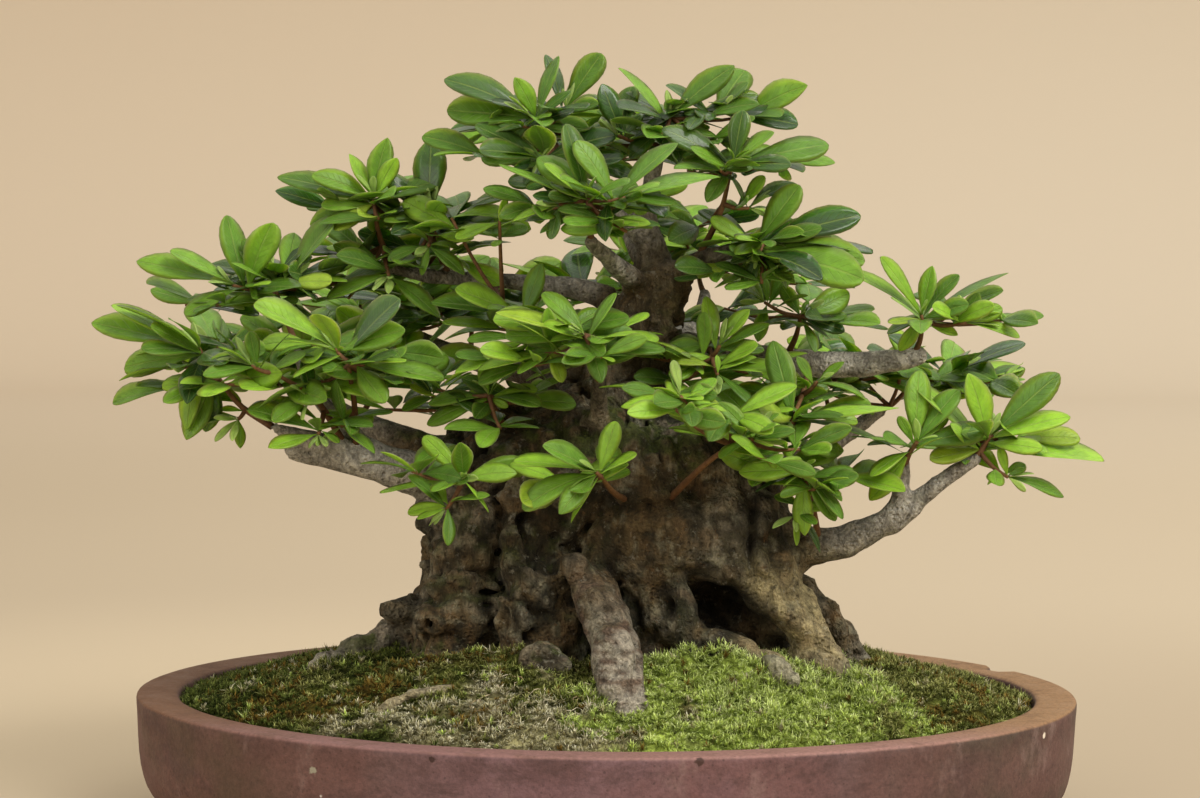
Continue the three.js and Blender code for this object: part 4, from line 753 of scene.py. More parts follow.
def build_tree(grid):
    points, quads = without_scraps(*surface_net(grid))
    normals = point_normals(points, quads)
    z = points[:, 2]
    neck = np.hypot(points[:, 0] - 0.3 * (z - 160), points[:, 1] - 4)
    neck_share = (1 - ramp(neck, 20, 30)) * (1 - ramp(z, 232, 250))
    trunk_share = 1 - ramp(reach(points, [0, 0, 110], [105, 85, 85]), 1.0, 1.35)
    trunk_share = np.maximum(trunk_share, neck_share * ramp(z, 150, 170))
    tree = mesh_piece("tree_wood", points, quads, [bark_material()], ["tree"])
    paint(tree, "bark", bark_colours(points, normals, hollowness(points, quads, normals), trunk_share))


# Pot

# Profile of the wall, from the underside over the rim to the floor: how far in from the rim, and height
POT_ROWS = [
    (FLOOR_INSET, POT_UNDERSIDE), (26, 9), (20, 9.1), (15, 9.9), (11.5, 11), (8.2, 12.8), (5.8, 15.2),
    (4.2, 18.2), (3, 22), (2, 26.5), (1.3, 32), (0.9, 38), (0.6, 44), (0.35, 49), (0.1, 52), (0.05, 54.3),
    (0.2, 55.1), (0.6, 55.7), (1.3, 55.95), (3.2, 56), (9, 55.9), (15, 55.7), (16.8, 55.4), (17.6, 54.7),
    (18, 53.4), (18, 34), (22, 24), (31, FLOOR_TOP), (FLOOR_INSET, FLOOR_TOP),
]


def oval(inset, angle):
    """Places on the rim's outline moved in by the inset."""
    across = np.hypot(POT_HALF_Y * np.cos(angle), POT_HALF_X * np.sin(angle))
    x = (POT_HALF_X - inset * POT_HALF_Y / across) * np.cos(angle)
    y = (POT_HALF_Y - inset * POT_HALF_X / across) * np.sin(angle)
    return x, y


def oval_ring(inset, z, sides=POT_SIDES, share=1):
    """A ring of the rim's outline moved in by the inset, and drawn in toward the middle by the share."""
    x, y = oval(inset, 2 * np.pi * np.arange(sides) / sides)
    return np.stack([x * share, y * share, np.full(sides, float(z))], axis=1)


def handmade(points):
    """Slight unevenness of a wall that was pressed and smoothed by hand."""
    place = points.astype(np.float32)
    swell = (noise(place, 70, 61) - 0.5) * 1.1 + (noise(place, 17, 62) - 0.5) * 0.35
    swell *= ramp(points[:, 2], 10, 20)
    flat = points * np.array([1 / POT_HALF_X ** 2, 1 / POT_HALF_Y ** 2, 0])
    flat /= np.linalg.norm(flat, axis=1)[:, None] + 1e-9
    return points + flat * (swell - 0.7)[:, None]


def chipped(points):
    """The chip in the outer edge of the rim, at the back right."""
    gap = np.linalg.norm((points - np.array(CHIP_PLACE)) * np.array([1, 1, 1.3]), axis=1)
    ragged = CHIP_REACH * (0.75 + 0.5 * noise(points.astype(np.float32), 3, 63))
    deep = 1 - ramp(gap, 0.45 * ragged, ragged)
    inward = -points * np.array([1, 1, 0]) / np.linalg.norm(points[:, :2], axis=1)[:, None]
    return points + (inward * 3.2 + np.array([0, 0, -2.6])) * deep[:, None]


def foot_points(span):
    """One foot: a low block whose ends follow the oval, with softened edges."""
    near, far = FOOT_INSETS
    corner_list = []
    for angle, inset in [(span[0], near), (span[1], near), (span[1], far), (span[0], far)]:
        turn = math.radians(angle)
        corner_list.append([(POT_HALF_X - inset) * math.cos(turn), (POT_HALF_Y - inset) * math.sin(turn)])
    corner_list = np.array(corner_list)
    middle = corner_list.mean(axis=0)

    def eased(corner, one, other, share):
        return corner + (one - corner) * share * 0.35 + (other - corner) * (0.2 - share) * 0.35 * 0.2

    outline = []
    for index, corner in enumerate(corner_list):
        before, after = corner_list[index - 1], corner_list[(index + 1) % 4]
        outline += [eased(corner, before, after, share) for share in FOOT_EASE]
        outline.append(corner + (middle - corner) * 0.02)
        outline += [eased(corner, after, before, share) for share in FOOT_EASE[::-1]]
    outline = np.array(outline)
    rings = []
    for share, z in FOOT_ROWS:
        rings.append(np.column_stack([middle + (outline - middle) * share, np.full(len(outline), z)]))
    return np.concatenate(rings), len(outline)


def cut_drains(piece):
    """Cuts the two drain holes through the pot's floor."""
    turns = [2 * math.pi * k / DRAIN_SIDES for k in range(DRAIN_SIDES)]
    cutters = []
    for side in (-1, 1):
        middle = side * DRAIN_X
        ring = [(middle + DRAIN_RADIUS * math.cos(turn), DRAIN_RADIUS * math.sin(turn)) for turn in turns]
        points = [(x, y, z) for z in DRAIN_CUT for x, y in ring]
        cutters.append(mesh_piece("drain_cutter", points, closed_faces(2, DRAIN_SIDES), [], None))
    for cutter in cutters:
        modifier = piece.modifiers.new("drain", "BOOLEAN")
        modifier.operation = "DIFFERENCE"
        modifier.object = cutter
    graph = bpy.context.evaluated_depsgraph_get()
    cut = bpy.data.meshes.new_from_object(piece.evaluated_get(graph))
    piece.modifiers.clear()
    piece.data = cut
    for cutter in cutters:
        bpy.data.objects.remove(cutter)


def add_feet(pot):
    """Joins the four feet to the pot's mesh."""
    model = bmesh.new()
    model.from_mesh(pot.data)
    for span in FOOT_SPANS:
        points, sides = foot_points(span)
        verts = [model.verts.new(Vector(point) * MM) for point in points]
        for face in closed_faces(len(FOOT_ROWS), sides):
            model.faces.new([verts[index] for index in face])
    model.to_mesh(pot.data)
    model.free()
    for face in pot.data.polygons:
        face.use_smooth = True
    pot.data.set_sharp_from_angle(angle=math.radians(SHARP_ANGLE))


def build_pot():
    shares = (0.25, 0.5, 0.75)
    underside = [oval_ring(FLOOR_INSET, POT_UNDERSIDE, share=share) for share in shares]
    wall = [handmade(oval_ring(inset, z)) for inset, z in POT_ROWS]
    floor = [oval_ring(FLOOR_INSET, FLOOR_TOP, share=share) for share in shares[::-1]]
    rings = underside + wall + floor
    faces = closed_faces(len(rings), POT_SIDES)
    points = chipped(np.concatenate(rings))
    pot = mesh_piece("pot_stoneware", points, faces, [pot_material()], ["pot"])
    cut_drains(pot)
    add_feet(pot)


# Soil and moss

def mound_points(step, ring):
    """Points of the mound in plan, from steps round the oval and rings out from the middle."""
    x, y = oval(RIM_WIDTH + GAP, 2 * np.pi * np.asarray(step) / GRID_STEPS)
    share = np.asarray(ring) / GRID_RINGS
    return x * share, y * share


def mound_share(x, y):
    """How far out a place on the mound lies: 0 in the middle and 1 at the pot."""
    return np.hypot(x / SOIL_HALF_X, y / SOIL_HALF_Y)


def on_plan(x, y):
    """Places as points at no height, for noise."""
    return np.column_stack([np.ravel(x), np.ravel(y), np.zeros(np.size(x))]).astype(np.float32)


def moss_thickness(x, y):
    """Cushions of moss: the part's own broad swells, with small clumps on them."""
    cushions = np.sin(x / 15 + 0.6 * np.sin(y / 21)) * np.cos(y / 13 + 0.5 * np.sin(x / 24))
    clumps = noises(on_plan(x, y), (15, 71, 5.0), (8, 72, 3.4), (4.4, 73, 1.6))
    crest = 9 * np.exp(-((x - 46) / 24) ** 2 - ((y + 70) / 13) ** 2)
    crest += 5 * np.exp(-((x + 40) / 26) ** 2 - ((y + 70) / 12) ** 2)
    thin = 1 - 0.7 * ramp(y, -50, 20)
    return (0.4 + 1.8 * np.abs(cushions) + clumps.reshape(x.shape) + crest) * thin


def ground_height(x, y):
    """Top of the moss where there is moss, and of the soil between it and the trunk."""
    share = mound_share(x, y)
    cover = ramp(share, 0.4, 0.54) * (1 - 0.45 * ramp(share, 0.93, 1.0))
    return soil_height(x, y) + cover * moss_thickness(x, y)


def build_soil():
    low = [oval_ring(inset, z, SOIL_COLUMNS) for inset, z in [(31.3, 19.4), (22.3, 24), (18.3, 34)]]
    rings = []
    for ring in np.linspace(GRID_RINGS, 0.1, SOIL_ROWS):
        x, y = mound_points(np.linspace(0, GRID_STEPS, SOIL_COLUMNS, endpoint=False), ring)
        place = on_plan(x, y)
        crumbs = 1.8 * (noise(place, 5.0, 75) - 0.5) + 0.9 * (noise(place, 2.2, 76) - 0.5)
        rings.append(np.column_stack([x, y, soil_height(x, y) + crumbs - 0.4]))
    faces = closed_faces(len(low + rings), SOIL_COLUMNS)
    mesh_piece("soil_mound", np.concatenate(low + rings), faces, [soil_material()], ["soil"])


def build_grains(grid):
    """Small angular grains of baked clay that show on the soil round the roots."""
    draw = seeded(505)
    shape = np.array([[1, 0, 0], [-1, 0, 0], [0, 1, 0], [0, -1, 0], [0, 0, 1], [0, 0, -1]], dtype=float)
    sides = [(0, 2, 4), (2, 1, 4), (1, 3, 4), (3, 0, 4), (2, 0, 5), (1, 2, 5), (3, 1, 5), (0, 3, 5)]
    places = []
    for _ in range(GRAINS):
        angle = 2 * math.pi * draw()
        share = 0.18 + 0.42 * draw()
        places.append((164 * share * math.cos(angle), 124 * share * math.sin(angle)))
    places = np.array(places)
    heights = soil_height(places[:, 0], places[:, 1])
    free = grid.at(np.column_stack([places, heights + 1])) > 0.8
    points, faces, colours = [], [], []
    for (x, y), height, clear in zip(places, heights, free):
        size = 0.7 + 1.1 * draw() ** 2
        turn = Matrix.Rotation(draw() * 6.3, 3, (draw() - 0.5, draw() - 0.5, draw() + 0.1))
        squeeze = np.array([1, 0.7 + 0.3 * draw(), 0.6 + 0.3 * draw()])
        tone = draw()
        if not clear:
            continue
        first = len(points)
        points.extend((shape * size * squeeze) @ np.array(turn).T + np.array([x, y, height + 0.3 * size]))
        faces.extend(tuple(first + index for index in side) for side in sides)
        colours.append(mix_rows(linear(92, 66, 42), linear(164, 128, 88), np.full(len(shape), tone)))
    clay = tinted_material("soil_grains", 0.9)
    grains = mesh_piece("soil_grains", points, faces, [clay], [], False)
    paint(grains, "tint", np.concatenate(colours))


# Each kind of moss: the colour at its foot, which is painted shade, of its body, and of its tips
MOSS_KINDS = (
    (linear(48, 64, 18), linear(164, 184, 82), linear(236, 244, 188)),
    (linear(12, 17, 5), linear(96, 102, 42), linear(226, 226, 150)),
    (linear(12, 17, 5), linear(60, 72, 25), linear(152, 162, 86)),
    (linear(28, 26, 14), linear(160, 154, 109), linear(255, 253, 234)),
    (linear(28, 21, 7), linear(104, 82, 32), linear(176, 152, 78)),
)


def moss_kinds(x, y):
    """How much of each kind of moss grows at a place: bright, dark, mixed, straw and rust."""
    place = on_plan(x, y)
    sway = (noise(place, 34, 81) - 0.5) * 34 + (noise(place, 11, 82) - 0.5) * 22
    angle = np.degrees(np.arctan2(y * POT_HALF_X / POT_HALF_Y, x)) + sway
    front = ramp(-y, 18, 52)
    share = mound_share(x, y) + (noise(place, 12, 87) - 0.5) * 0.3
    bright = window(angle, (-93, -83), (-36, -26)) * front
    straw = window(angle, (-122, -108), (-93, -83)) * front
    straw *= ramp(share, 0.64, 0.78)
    rust = ramp(noise(place, 19, 83), 0.6, 0.74) * (1 - bright) * 0.55
    rusty = np.exp(-((x + 103) / 28) ** 2 - ((y + 84) / 16) ** 2)
    rust = np.maximum(rust, 0.75 * ramp(rusty * (0.5 + noise(place, 7, 88)), 0.3, 0.6))
    dark = (1 - ramp(np.abs(angle - 35), 60, 90)) * (1 - bright) * (1 - 0.6 * rust)
    green = window(angle, (-152, -138), (-93, -83)) * front * (1 - straw)
    dark = np.maximum(dark, 0.85 * green * (1 - ramp(share, 0.84, 0.96)) * (1 - rust))
    rest = np.clip(1 - bright - straw - dark, 0, 1) * (1 - 0.7 * rust)
    kinds = np.stack([bright, dark, rest, straw, rust], axis=1)
    return kinds / kinds.sum(axis=1)[:, None]


def moss_colour(kinds, level):
    """The colour at a height in the moss, from its shaded foot (0) to its tips (1)."""
    total = np.zeros((len(level), 3))
    for column, (foot, body, tip) in enumerate(MOSS_KINDS):
        colour = mix_rows(foot, body, np.clip(level * 2, 0, 1))
        colour = mix_rows(colour, tip, np.clip(level * 2 - 1, 0, 1))
        total += colour * kinds[:, column:column + 1]
    return total


def moss_base(first, last):
    """A closed slab of moss over its part of the mound, as points, faces and colours."""
    rows, columns = 3 * MOSS_ROWS + 1, (last - first) * MOSS_COLUMNS + 1
    step, ring = np.meshgrid(np.linspace(first, last, columns), np.linspace(*MOSS_RINGS, rows))
    x, y = mound_points(step, ring)
    height = soil_height(x, y)
    thick = ramp(ring, 3.0, 3.25) * (moss_thickness(x, y) - 0.3) * (1 - 0.45 * ramp(ring, 5.6, 6.0))
    heights = (height + 0.3 + thick, height - 0.2)
    points = np.concatenate([np.column_stack([x.ravel(), y.ravel(), z.ravel()]) for z in heights])
    number = np.arange(rows * columns).reshape(rows, columns)
    faces = []
    for a in number[:-1, :-1].ravel().tolist():
        around = (a, a + columns, a + columns + 1, a + 1)
        faces.append(around)
        faces.append((a + number.size,) + tuple(index + number.size for index in around[:0:-1]))
    border = [*number[0], *number[1:, -1], *number[-1, -2::-1], *number[-2:0:-1, 0]]
    for a, b in zip(border, border[1:] + border[:1]):
        faces.append((int(a), int(b), int(b) + number.size, int(a) + number.size))
    clump = noise(points.astype(np.float32) * np.array([1, 1, 0], dtype=np.float32), 4.5, 83)
    # The slab takes the dark foot colours, as painted shade between the tufts
    return points, faces, moss_colour(moss_kinds(points[:, 0], points[:, 1]), 0.04 + 0.4 * clump)


def tuft_places(rng):
    """Middles of the tufts over the whole mound, on a loose honeycomb."""
    row_gap = 0.866 * TUFT_SPACING
    columns, rows = int(2 * POT_HALF_X / TUFT_SPACING), int(2 * POT_HALF_Y / row_gap)
    column, row = np.meshgrid(np.arange(columns), np.arange(rows))
    x = (column + 0.5 * (row % 2)).ravel() * TUFT_SPACING - POT_HALF_X
    y = row.ravel() * 0.866 * TUFT_SPACING - POT_HALF_Y
    loose = 0.34 * TUFT_SPACING
    return x + rng.uniform(-loose, loose, len(x)), y + rng.uniform(-loose, loose, len(y))


def aimed(turn, lean):
    """Directions at a turn round the upright and a lean away from it."""
    return np.column_stack([np.cos(turn) * np.sin(lean), np.sin(turn) * np.sin(lean), np.cos(lean)])


def moss_tufts(first, last, grid, places, rng):
    """Little stars of moss: pointed blades that spread from each tuft's middle, as points and colours."""
    x, y = places
    share = mound_share(x, y)
    step = (np.degrees(np.arctan2(y / POT_HALF_Y, x / POT_HALF_X)) / 10 - first) % GRID_STEPS
    keep = (share > 0.2) & (share < 0.99) & (step < last - first)
    x, y, share = x[keep], y[keep], share[keep]
    centre = np.column_stack([x, y, ground_height(x, y)]).astype(np.float32)
    flat = centre * np.array([1, 1, 0], dtype=np.float32)
    keep = noise(flat, 8, 84) > 0.56 - 0.9 * ramp(share, 0.26, 0.5)
    keep &= grid.at(centre + np.array([0, 0, 1.2])) > 0.4
    x, y, centre, flat = x[keep], y[keep], centre[keep], flat[keep]
    total = len(x)
    size = rng.uniform(0.75, 1.3, total) * (0.7 + 0.7 * noise(flat, 13, 85))
    tone = 0.55 * noise(flat, 8, 72) + 0.35 * noise(flat, 9, 86) + 0.6 * rng.uniform(0, 1, total) - 0.22
    tone = np.clip(tone, 0, 1)
    lift = rng.uniform(-0.9, 2.0, total)
    odds = np.cumsum(moss_kinds(x, y) ** 1.5 + 0.03, axis=1)
    pick = rng.uniform(0, 1, total)[:, None] * odds[:, -1:]
    kinds = np.eye(len(MOSS_KINDS))[np.argmax(pick < odds, axis=1)]
    size *= 1 + 0.3 * moss_kinds(x, y)[:, 0]
    tuft = np.repeat(np.arange(total), MOSS_BLADES)
    number = len(tuft)
    turn = rng.uniform(0, 2 * np.pi, number)
    lean = np.arccos(rng.uniform(0.12, 1.0, number))
    side = np.column_stack([-np.sin(turn), np.cos(turn), rng.uniform(-0.4, 0.4, number)])
    length = (rng.uniform(2.1, 3.6, number) * size[tuft])[:, None]
    width = rng.uniform(0.16, 0.29, number)[:, None]
    loose = rng.uniform(-0.45, 0.45, (number, 3))
    foot = centre[tuft] + loose + np.array([0, 0, 0.2]) + lift[tuft][:, None] * np.array([0, 0, 1])
    middle = foot + 0.5 * length * aimed(turn, 0.75 * lean)
    tip = middle + 0.5 * length * aimed(turn, np.minimum(1.2 * lean, 1.9))
    points = np.stack([foot, middle - side * width, middle + side * width, tip], axis=1)
    level = tone[tuft] * 0.65 + 0.35 * rng.uniform(0, 1, number)
    # Painted shade darkens the foot of each blade; the tips, pale of their own, are brighter on upright
    # blades as painted highlight
    levels = (0.16 * level, 0.24 + 0.46 * level, 0.52 + 0.48 * level * (0.6 + 0.4 * np.cos(lean)))
    low, body, high = [moss_colour(kinds[tuft], one) for one in levels]
    return points.reshape(-1, 3), np.stack([low, body, body, high], axis=1).reshape(-1, 3)


def build_moss(grid):
    surface = moss_material()
    rng = np.random.default_rng(707)
    places = tuft_places(rng)
    for name, steps in MOSS_PATCHES.items():
        points, faces, colours = moss_base(*steps)
        blades, blade_colours = moss_tufts(*steps, grid, places, rng)
        first = len(points)
        for a in range(first, first + len(blades), 4):
            faces += [(a, a + 2, a + 1), (a + 1, a + 2, a + 3)]
        piece = mesh_piece(name + "_tufts", np.concatenate([points, blades]), faces, [surface], [name])
        paint(piece, "tint", np.concatenate([colours, blade_colours]))


def build_strands(grid):
    """Dead stems and thin pale roots that lie over the straw coloured moss."""
    draw = seeded(905)
    points, faces, colours = [], [], []
    for _ in range(STRANDS):
        x = -62 + 60 * draw()
        y = -124 + 40 * draw()
        turn = 6.3 * draw()
        half = 1.6 + 3.6 * draw()
        path = []
        for step in range(5):
            along = half * (step / 2 - 1)
            bend = math.sin(step * 1.6 + 9 * turn) * half * 0.25
            place_x = x + along * math.cos(turn) - bend * math.sin(turn)
            place_y = y + along * math.sin(turn) + bend * math.cos(turn)
            lift = 1.0 + 1.3 * math.sin(math.pi * step / 4)
            height = float(ground_height(np.array([place_x]), np.array([place_y]))[0])
            path.append((place_x, place_y, height + lift))
        tone = draw()
        if grid.at(path).min() < 2.5:
            continue
        strand, sides = tube(path, [0.12, 0.24, 0.1], 5)
        faces += [tuple(len(points) + index for index in side) for side in sides]
        points.extend(strand)
        colours.append(mix_rows(linear(150, 128, 88), linear(224, 214, 184), np.full(len(strand), tone)))
    stems = tinted_material("dead_stems", 0.85)
    strands = mesh_piece("moss_strands", points, faces, [stems], [])
    paint(strands, "tint", np.concatenate(colours))


# Leaves and twigs

# Rows of a blade: share of its length, and of its half width when pointed and when blunt
LEAF_ROWS = [
    (0, 0.07, 0.07), (0.08, 0.1, 0.1), (0.2, 0.36, 0.3), (0.34, 0.68, 0.58), (0.48, 0.92, 0.8),
    (0.61, 1, 0.95), (0.74, 0.9, 1), (0.85, 0.66, 0.9), (0.93, 0.38, 0.68), (0.98, 0.15, 0.38),
    (1, 0.02, 0.06),
]
LEAF_COLUMNS = (-1, -0.5, 0, 0.5, 1)

LEAF_DARK = linear(37, 66, 21)
LEAF_MIDDLE = linear(80, 117, 34)
LEAF_LIGHT = linear(104, 145, 40)
LEAF_LIME = linear(135, 180, 48)
LEAF_GREY = linear(168, 186, 122)
LEAF_YELLOW = linear(140, 168, 48)


def leaf_pattern():
    """Shares along and across a leaf at each point, its widths when pointed and when blunt, its faces,
    and which points are on the underside."""
    rows, columns = len(LEAF_ROWS), len(LEAF_COLUMNS)
    along, pointed, blunt = np.repeat(np.array(LEAF_ROWS).T, columns, axis=1)
    across = np.tile(LEAF_COLUMNS, rows)
    inner = [r * columns + c for r in range(1, rows - 1) for c in range(1, columns - 1)]
    under = {index: rows * columns + number for number, index in enumerate(inner)}
    faces = []
    for r in range(rows - 1):
        for a in range(r * columns, (r + 1) * columns - 1):
            for upper in ((a, a + 1, a + columns + 1), (a, a + columns + 1, a + columns)):
                faces += [upper, tuple(under.get(index, index) for index in upper)[::-1]]
    side = np.zeros(rows * columns + len(inner))
    side[rows * columns:] = 1
    side[[index for index in range(rows * columns) if index not in under]] = 0.5
    pick = np.concatenate([np.arange(rows * columns), inner]).astype(int)
    return along[pick], pointed[pick], blunt[pick], across[pick], side, np.array(faces)


PATTERN = leaf_pattern()


def leaf_direction(turn, lean):
    """Direction of a leaf from its turn seen from the front and its lean toward the viewer."""
    turn, lean = math.radians(turn), math.radians(lean)
    return np.array([math.cos(turn) * math.cos(lean), -math.sin(lean), math.sin(turn) * math.cos(lean)])


def aim_angles(direction):
    """Turn and lean of a direction, in degrees."""
    direction = direction / (np.linalg.norm(direction) + 1e-9)
    return math.degrees(math.atan2(direction[2], direction[0])), math.degrees(math.asin(-direction[1]))


def leaf_axes(along, roll):
    """The direction across a leaf, and the one out of its upper face."""
    across = np.cross(along, (0, -0.55, 0.83))
    if np.linalg.norm(across) < 0.2:
        across = np.array([1.0, 0, 0])
    across /= np.linalg.norm(across)
    across = across * math.cos(roll) + np.cross(along, across) * math.sin(roll)
    upward = np.cross(across, along)
    return across, upward / np.linalg.norm(upward)


def leaf_shape(turn, lean, length):
    """Roll, bend and fold of a leaf, drawn from its own three values as in the part."""
    draw = seeded(math.floor(turn * 31 + lean * 17 + length * 7 + 5000 + 0.5))
    return (draw() - 0.5) * 0.9, 0.05 + 0.2 * draw(), 0.1 + 0.25 * draw()


def make_leaf(turn, lean, length, draw, width=LEAF_WIDTH, young=False, shape=None):
    roll, bend, fold = shape or ((draw() - 0.5) * 1.1, 0.04 + 0.24 * draw(), 0.1 + 0.3 * draw())
    return {
        "turn": turn, "lean": lean, "length": length, "roll": roll, "bend": bend, "fold": fold,
        "width": width * (0.82 + 0.36 * draw()), "wave": draw() - 0.3, "phase": 6.3 * draw(),
        "curl": 0.25 * draw() ** 2, "sweep": (draw() - 0.5) * 0.2, "twist": (draw() - 0.5) * 1.1,
        "blunt": draw() ** 0.8, "young": young,
    }


def leaf_points(base, leaf):
    """The points of one leaf blade: folded along the rib, arched, slightly waved and twisted."""
    s, pointed, blunt, t, side, _ = PATTERN
    along = leaf_direction(leaf["turn"], leaf["lean"])
    across, upward = leaf_axes(along, leaf["roll"])
    length = leaf["length"]
    half = leaf["width"] * length * (pointed + (blunt - pointed) * leaf["blunt"])
    thick = LEAF_THICK * 0.5 * (1 - 0.7 * np.abs(t)) * (1 - 0.5 * s)
    lift = np.abs(t) ** 1.3 * leaf["fold"] * half
    lift += leaf["wave"] * length * 0.02 * np.sin(7 * s + leaf["phase"] + 1.6 * t) * np.abs(t)
    lift -= leaf["curl"] * half * t * t * s
    lift += np.where(side == 0, thick, np.where(side == 1, -thick, 0))
    out = t * half
    turned = leaf["twist"] * s
    out, lift = out * np.cos(turned) - lift * np.sin(turned), out * np.sin(turned) + lift * np.cos(turned)
    lift -= leaf["bend"] * length * s * s
    out += leaf["sweep"] * length * s * s
    return base + np.outer(s * length, along) + np.outer(out, across) + np.outer(lift, upward)


def leaf_tint(leaf, draw, youth_and_light):
    """A colour of its own for each leaf: darker when old, lime or silvery when young, and lighter in sprays
    given painted light.
    """
    share = draw() + 0.5 * (youth_and_light - 0.5)
    if leaf["young"]:
        colour = np.array(LEAF_GREY) * 0.5 + np.array(LEAF_LIME) * 0.5
    elif share < 0.24:
        colour = LEAF_DARK
    elif share < 0.6:
        colour = LEAF_MIDDLE
    elif share < 0.82:
        colour = LEAF_LIGHT
    else:
        colour = LEAF_LIME if draw() < 0.93 else LEAF_YELLOW
    other = (LEAF_MIDDLE, LEAF_LIGHT, LEAF_DARK)[int(draw() * 2.999)]
    return (np.array(colour) * 0.8 + np.array(other) * 0.2) * (0.84 + 0.3 * draw())


def back_along(path, distance):
    """The point a distance back from the end of a path of straight lengths, or its start."""
    for index in range(len(path) - 1, 0, -1):
        length = np.linalg.norm(path[index] - path[index - 1])
        if distance < length:
            return path[index] + (path[index - 1] - path[index]) * (distance / length)
        distance -= length
    return np.array(path[0])


# How young the leaves of a spray are: the old ones are dark, the young ones lime. Sprays that sit in shade
# are also given lighter leaves here, as painted light
YOUTH_AND_LIGHT = {
    "front_left": 0.95, "front_centre": 1.1, "centre_mid": 1.1, "right_mid": 1.1, "left_mid": 0.85,
    "right_upper": 0.95, "right_end": 1.05, "right_lower": 0.95, "apex_front": 0.35, "left_low": 0.35,
    "left_top": 0.3, "apex_left": 0.0, "apex_right": 0.0, "apex_top": 0.0, "upper_left": 0.35,
    "right_top": 0.5, "left_inner": 0.65, "right_low_inner": 0.7, "centre_left": 1.0, "centre_right": 1.0,
    "front_right": 1.0, "shoulder_left": 0.6,
}
OTHER_YOUTH = 0.45

# Sprays of few leaves, in front of the trunk, and those with one shoot fewer inside them, which hang
# above bare branches
SPARSE = ("front_left", "front_centre")
AIRY = SPARSE + (
    "left_low", "left_mid", "left_inner", "right_end", "right_lower", "right_upper", "right_inner",
)

# How low the filling leaves of a spray may hang, so that the branch below it stays in sight
LOWEST = {
    "left_low": 172, "left_mid": 169, "left_inner": 170, "front_left": 139, "right_end": 149,
    "right_lower": 160, "right_upper": 208, "right_inner": 208,
}


